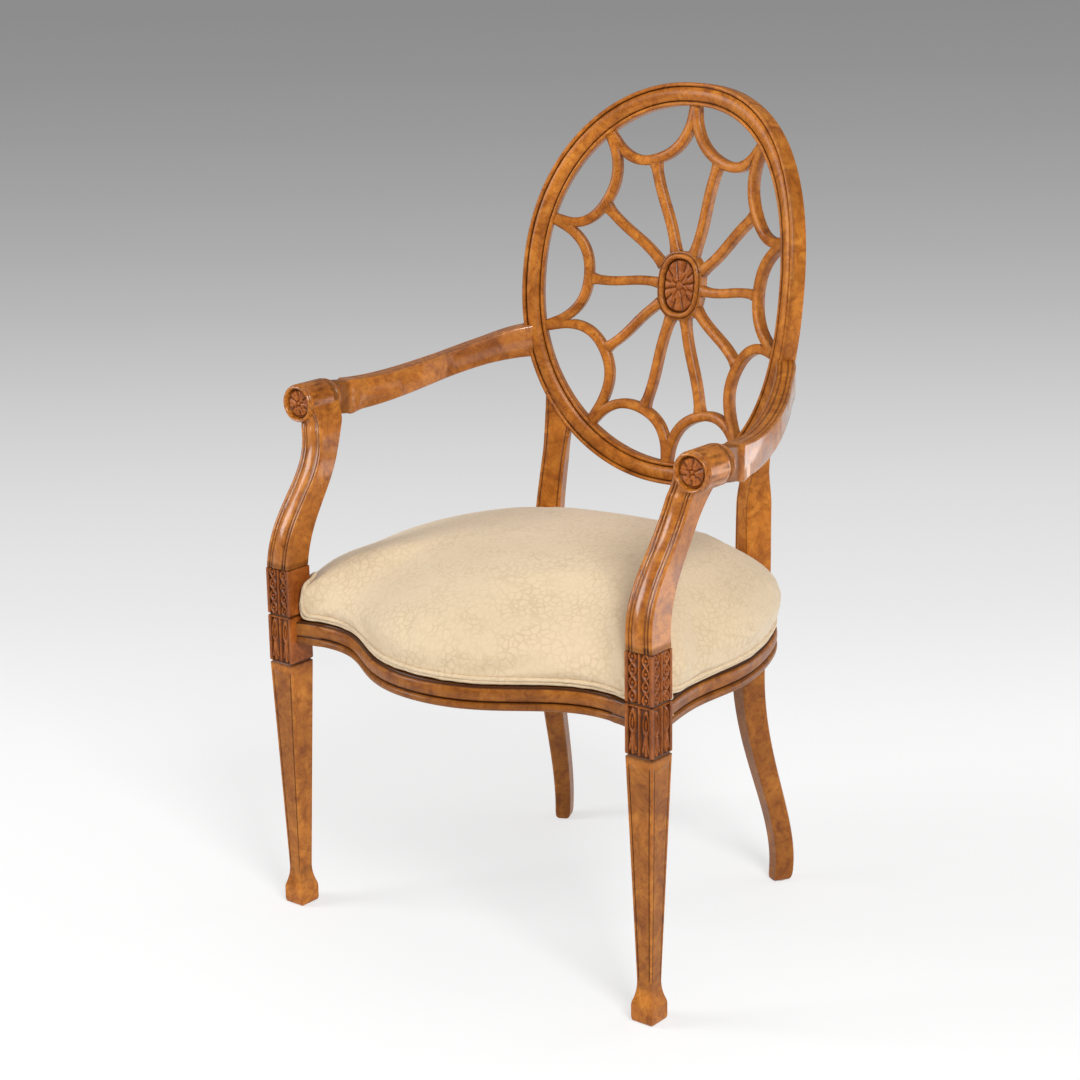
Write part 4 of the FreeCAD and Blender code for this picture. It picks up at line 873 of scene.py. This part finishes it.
def rail_profile():
    """Bead, groove, swell and lip as (inset, height), with their painted shade."""
    low = RAIL_LOW - 2.4
    a = np.linspace(-math.pi / 2, math.pi / 2, 9)
    bead = np.column_stack([3.2 - 3.2 * np.cos(a), low + 4.2 + 4.2 * np.sin(a)])
    a = np.linspace(-math.pi / 2, math.pi / 2, 13)
    swell = np.column_stack([3.2 - 3.2 * np.cos(a) ** 0.8, 365.0 + 7.2 * np.sin(a)])
    rows = [(RAIL_DEEP, low)] + bead.tolist() + [(4.4, low + 9.2)] + swell.tolist() + [
        (5.0, 373.2), (5.4, LIP_TOP), (11.0, LIP_TOP), (11.0, RAIL_TOP), (RAIL_DEEP, RAIL_TOP)]
    dark = [0] + [0.15] * 9 + [1.0, 0.35] + [0.05] * 11 + [0.5, 0.9, 0.6, 0.3, 0, 0]
    return np.array(rows), np.array(dark)


def along_rail(edge):
    """Rail along a line; its grooves run out beside the front legs."""
    profile, dark = rail_profile()
    shallow = mix(1.0, 0.25, ease((np.abs(edge[:, 0]) - 214) / 10) * (edge[:, 1] < LEG_Y + 5))
    inset = np.where(profile[:, 0] < 6, profile[:, 0] * shallow[:, None], profile[:, 0])
    rings = edge[:, None] + inward_of(edge)[:, None] * inset[..., None] + Z * profile[None, :, 1:]
    # Painted shade: the whole rail is darkened a further 0.36 on top of the shade in its groove and under the
    # lip
    return sweep(rings), np.tile(dark + 0.36, (len(rings), 1))


def rails():
    shape, dark = along_rail(front_edge(np.linspace(-1, 1, 150)))
    made = piece("front_rail_moulding", shape, "burl_wood", ("front_rail",), dark)
    face = LEG_X - BLOCK / 2 + 1.0
    trim(made, [((face, 0, 0), X), ((-face, 0, 0), -X)])
    (verts, faces), dark = along_rail(side_edge(120))
    for side, sign in SIDES:
        made = piece("side_rail_moulding_" + side, (mirror(verts, sign), faces), "burl_wood",
                     ("side_rail_" + side,), dark)
        trim(made, [((0, LEG_Y + BLOCK / 2 - 1.0, 0), -Y)])


# Seat cushion and its double welt
def seat_ring(inset, flare=0.0, scale=1.0, soften=0.0):
    """Outline of the seat, drawn in by an inset and out at the sides by a flare, and softened to an oval."""
    shares = np.linspace(0, 0.985, 46)
    inward = inward_of(front_edge(np.concatenate([[-0.02], shares, [0.999]])))[1:-1]
    tight = inset - 4.0 * ease((shares - 0.78) / 0.16)
    side = side_edge(121)
    side = side + inward_of(side) * (inset - flare)
    rear = REAR_RAIL_Y - inset
    right = np.concatenate([
        front_edge(shares) + inward * tight[:, None], [(LEG_X - inset, LEG_Y + inset, 0.0)], side[14:106:2],
        [(REAR_X + 6 - inset, rear - 6, 0.0)], [(x, rear, 0.0) for x in np.linspace(REAR_X * 0.85, 0, 10)]])
    ring = np.concatenate([right, mirror(right)[-2:0:-1]])
    middle = Y * CUSHION_MID_Y
    reach = ring - middle
    length = np.linalg.norm(reach, axis=1)
    way = reach / length[:, None]
    oval = 1 / np.hypot(way[:, 0] / BULGE_X, way[:, 1] / (REAR_RAIL_Y - CUSHION_MID_Y))
    return middle + way * (mix(length, oval, soften) * scale)[:, None]


def cushion_base():
    """Wall and dome of the cushion before it swells; the crown leans a little to one side."""
    base = LIP_TOP + 0.6
    rings = []
    for wall, inset, flare in CUSHION_WALL:
        rings.append(seat_ring(inset + CUSHION_SHRINK, flare) + Z * (base + wall))
    for i in range(1, 19):
        a = math.pi / 2 * 0.985 * i / 18
        reach = math.cos(a) ** 0.64
        rise = mix(wall, CUSHION_HIGH - CUSHION_SHRINK, math.sin(a) ** 1.2)
        ring = seat_ring(inset + CUSHION_SHRINK, flare, reach, min(1.0, 1.2 * (1 - reach)))
        ring += Z * (base + rise)
        ring[:, 2] += ring[:, 0] * CUSHION_LEAN * math.sin(a)
        rings.append(ring)
    return sweep(rings)


def leg_boxes(slack):
    """The four uprights that the cushion is notched for: centre, half sizes, turn."""
    h = BLOCK / 2 + slack
    rear = (POST_HALF_WIDE + slack, POST_HALF_DEEP + slack)
    return [((LEG_X, LEG_Y), (h, h), 0.0), ((-LEG_X, LEG_Y), (h, h), 0.0),
            ((REAR_X, REAR_Y), rear, -REAR_TURN), ((-REAR_X, REAR_Y), rear, REAR_TURN)]


def push_clear(co, slack):
    """Moves places out of the uprights by the shortest way."""
    for (x, y), (hx, hy), turn in leg_boxes(slack):
        c, s = math.cos(turn), math.sin(turn)
        u = (co[:, 0] - x) * c + (co[:, 1] - y) * s
        v = -(co[:, 0] - x) * s + (co[:, 1] - y) * c
        inside = (np.abs(u) < hx) & (np.abs(v) < hy)
        over_u, over_v = hx - np.abs(u), hy - np.abs(v)
        along_u = inside & (over_u <= over_v)
        along_v = inside & (over_u > over_v)
        u[along_u] = np.sign(u[along_u]) * hx
        v[along_v] = np.sign(v[along_v]) * hy
        co[:, 0] = x + u * c - v * s
        co[:, 1] = y + u * s + v * c
    return co


def notched_cushion():
    """The cushion with room for the uprights, as an even grid of faces."""
    whole = raw("cushion_raw", *cushion_base())
    cutters = []
    for (x, y), (hx, hy), turn in leg_boxes(2.0):
        c, s = math.cos(turn), math.sin(turn)
        plan = [(x + u * hx * c - v * hy * s, y + u * hx * s + v * hy * c) for u, v in CORNERS]
        cutters.append(raw("cutter", *sweep([[(*p, z) for p in plan] for z in (300.0, 560.0)])))
        combine(whole, cutters[-1], "DIFFERENCE")
    grid = whole.modifiers.new("remesh", "REMESH")
    grid.mode, grid.voxel_size = "VOXEL", CUSHION_GRID * MM
    return baked("seat_cushion", whole, *cutters)


def places(mesh):
    co = np.zeros(len(mesh.vertices) * 3, np.float32)
    mesh.vertices.foreach_get("co", co)
    return co.reshape(-1, 3).astype(float)


def swollen(obj, rest):
    """Places after a cloth simulation under pressure, with the foot pinned and each step at most 6 mm."""
    pin = obj.vertex_groups.new(name="pin")
    weights = np.clip(((LIP_TOP + 12) * MM - rest[:, 2]) / 0.006, 0, 1)
    for i, weight in enumerate(weights):
        pin.add([i], float(weight), "REPLACE")
    sim = obj.modifiers.new("cloth", "CLOTH")
    for key, value in CLOTH.items():
        setattr(sim.settings, key, value)
    sim.settings.effector_weights.gravity = 0.0
    sim.collision_settings.use_collision = False
    scene = bpy.context.scene
    for moment in range(1, 21):
        scene.frame_set(moment)
    mesh = applied(obj)
    step = places(mesh) - rest
    size = np.linalg.norm(step, axis=1, keepdims=True)
    obj.modifiers.clear()
    obj.vertex_groups.clear()
    bpy.data.meshes.remove(mesh)
    scene.frame_set(1)
    return rest + step * np.minimum(1.0, 0.006 / np.maximum(size, 1e-9))


def cushion():
    obj = notched_cushion()
    moved = places(obj.data)
    moved = swollen(obj, moved)
    moved = push_clear(moved / MM, 1.2) * MM
    obj.data.vertices.foreach_set("co", moved.astype(np.float32).ravel())
    obj.data.update()
    smooth = obj.modifiers.new("smooth", "SMOOTH")
    smooth.factor = 0.5
    smooth.iterations = 3
    fine = obj.modifiers.new("fine", "SUBSURF")
    fine.levels = fine.render_levels = 1
    made = dress(baked("seat_cushion", obj), "seat_fabric", ("seat_cover", "seat_pad"), 80)
    return made


def tube(spots):
    """Round cord along a run of places."""
    ahead = slope(spots)
    side = unit(np.cross(ahead, Z + ahead * 0.01))
    up = np.cross(side, ahead)
    a = turns(12)[None, :, None]
    return sweep(spots[:, None] + WELT_R * (np.cos(a) * side[:, None] + np.sin(a) * up[:, None]))


def welts(seat):
    """Two cords side by side along the foot of the cushion, up and over the notches at the front legs."""
    seat.data.calc_loop_triangles()
    tree = BVHTree.FromPolygons([v.co for v in seat.data.vertices],
                                [tuple(t.vertices) for t in seat.data.loop_triangles])

    def top(x, y):
        hit = tree.ray_cast(Vector((x * MM, y * MM, 0.7)), Vector((0, 0, -1)))
        return hit[0].z / MM if hit[0] else LIP_TOP + 20

    low = LIP_TOP + 3.0
    shares = np.linspace(0, 0.97, 90)
    edge = front_edge(shares)
    edge = edge + inward_of(edge) * (3.2 - 3.4 * ease((shares - 0.78) / 0.16))[:, None]
    side = side_edge(121)
    side = side + inward_of(side) * 1.6
    for row, step in enumerate((0.0, WELT_GAP)):
        x1, y1 = LEG_X - BLOCK / 2 - 3.0 - step, LEG_Y + BLOCK / 2 + 3.0 + step
        y0 = float(np.interp(x1, edge[:, 0], edge[:, 1]))
        x0 = float(np.interp(y1, side[:, 1], side[:, 0]))
        foot = low + step
        path = [(x, y, foot) for x, y, _ in edge if x < x1 - 7][::4]
        path += [(x1 - 1.5, y0 + 0.5, foot + 4), (x1, y0 + 2.0, low + 16)]
        path += [(x1, y, top(x1 - 1, y) - sunk)
                 for sunk, y in zip((1, 2, 3, 5), np.linspace(y0 + 9, y1 - 6, 4))]
        path += [(x1 + 1.5, y1 - 1.5, top(x1, y1) - 9.0)]
        path += [(x, y1, top(x, y1 + 1) - sunk)
                 for sunk, x in zip((5, 3, 2, 1), np.linspace(x1 + 7, x0 - 9, 4))]
        path += [(x0 - 2, y1, low + 16), (x0 - 0.5, y1 + 1.5, foot + 4)]
        path += [(x, y, foot) for x, y, _ in side if y1 + 8 < y < REAR_Y - 12][::4]
        spots = spline(path, 330)
        for spot in spots:
            hit, normal, _, away = tree.find_nearest(Vector(spot * MM))
            if away < 0.012:
                sunk = 3.2 * ease((spot[2] - low - 16) / 16)
                spot[:] = np.array(hit) / MM + np.array(normal) * (1.3 - sunk)
        for _ in range(6):
            spots[1:-1] = (spots[:-2] + 2 * spots[1:-1] + spots[2:]) / 4
        spots[0, 0] = 0.0
        whole = np.concatenate([mirror(spots[:0:-1]), spots])
        nodes = ("seat_welt",) if row == 0 else ()
        piece("welt_%d" % (row + 1), tube(whole), "seat_fabric", nodes, None, 80)
        back = np.column_stack([np.linspace(-REAR_X + 20, REAR_X - 20, 60), np.full(60, REAR_RAIL_Y - 4.0),
                                np.full(60, foot)])
        piece("welt_rear_%d" % (row + 1), tube(back), "seat_fabric", (), None, 80)


def dust_cover():
    """Black cloth tacked under the rails, sagging a little."""
    rim = seat_ring(13.0)
    middle = Y * CUSHION_MID_Y
    rings = [middle + (rim - middle) * r - Z * (4.0 * (1 - r * r)) for r in np.linspace(1, 0.04, 24)]
    over = [ring + Z * (RAIL_LOW - 0.3) for ring in rings[::-1]]
    under = [ring + Z * (RAIL_LOW - 1.1) for ring in rings]
    verts, faces = sweep(over + under)
    made = piece("dust_cloth", (push_clear(verts, 0.8), faces), "dust_cloth", ("dust_cover",), None, 40)
    x, y, _ = push_clear(rim, 0.8).T


# Stage, light and camera
def stage():
    """Floor painted from white near to grey far off as painted falloff of light; to camera, glossy and
    transmission rays it partly glows with that tone, more so far off, and the diffuse part keeps the shadow.
    """
    mesh = bpy.data.meshes.new("floor")
    mesh.from_pydata([(x * FLOOR_HALF, y * FLOOR_HALF, 0) for x, y in CORNERS], [], [(0, 1, 2, 3)])
    floor = placed("floor", mesh)
    made = bpy.data.materials.new("floor")
    made.use_nodes = True
    tree = made.node_tree
    tree.nodes.clear()
    place = node(tree, "TexCoord").outputs["Object"]
    way = node(tree, "VectorMath", {0: place}, operation="DOT_PRODUCT")
    way.inputs[1].default_value = (-0.625, 0.78, 0.0)
    away = way.outputs["Value"]
    far = node(tree, "MapRange", {"Value": away}, From_Min=0.0, From_Max=FLOOR_FAR)
    tone = ramp(tree, far.outputs["Result"], [(share, (grey,) * 3) for share, grey in FLOOR_GREYS])
    diffuse = node(tree, "BsdfDiffuse", {"Color": tone})
    glow = node(tree, "Emission", {"Color": tone}, Strength=1.0)
    # Painted light: the floor glows to camera rays and, as a painted reflection in the lacquer, to glossy
    # rays
    seen = node(tree, "MapRange", {"Value": away}, From_Min=0.2, From_Max=2.0, To_Min=0.6, To_Max=1.0)
    rays = node(tree, "LightPath").outputs
    direct = rays["Is Camera Ray"]
    for kind in ("Is Glossy Ray", "Is Transmission Ray"):
        direct = node(tree, "Math", {0: direct, 1: rays[kind]}, operation="ADD", use_clamp=True).outputs[0]
    share = node(tree, "Math", {0: direct, 1: seen.outputs["Result"]}, operation="MULTIPLY")
    mixed = node(tree, "MixShader", {0: share.outputs[0], 1: diffuse.outputs[0], 2: glow.outputs[0]})
    node(tree, "OutputMaterial", {"Surface": mixed.outputs[0]})
    mesh.materials.append(made)


def light_and_camera():
    scene = bpy.context.scene
    world = bpy.data.worlds.new("studio")
    scene.world = world
    world.use_nodes = True
    sky = world.node_tree.nodes["Background"].inputs
    sky["Color"].default_value = (1, 1, 1, 1)
    sky["Strength"].default_value = 0.22
    for name, place, target, size, power in LAMPS:
        lamp = bpy.data.lights.new(name, "AREA")
        lamp.shape, lamp.size, lamp.energy = "SQUARE", size, power
        obj = placed(name, lamp)
        obj.location = place
        obj.rotation_euler = (Vector(target) - Vector(place)).to_track_quat("-Z", "Y").to_euler()
    scene.view_settings.view_transform = "Standard"

    lens = bpy.data.cameras.new("camera")
    lens.sensor_fit = "HORIZONTAL"
    lens.sensor_width = 36.0
    lens.lens = CAMERA_LENS
    scene.camera = placed("camera", lens)
    turn = Matrix.Identity(4)
    for degrees, axis in CAMERA_TURNS:
        turn = turn @ Matrix.Rotation(math.radians(degrees), 4, axis)
    scene.camera.matrix_world = Matrix.Translation(CAMERA_AT) @ turn


oval_pieces()
web_pieces()
boss_piece()
front_legs()
supports()
rosettes()
arms()
rear_legs()
rails()
welts(cushion())
dust_cover()
stage()
light_and_camera()
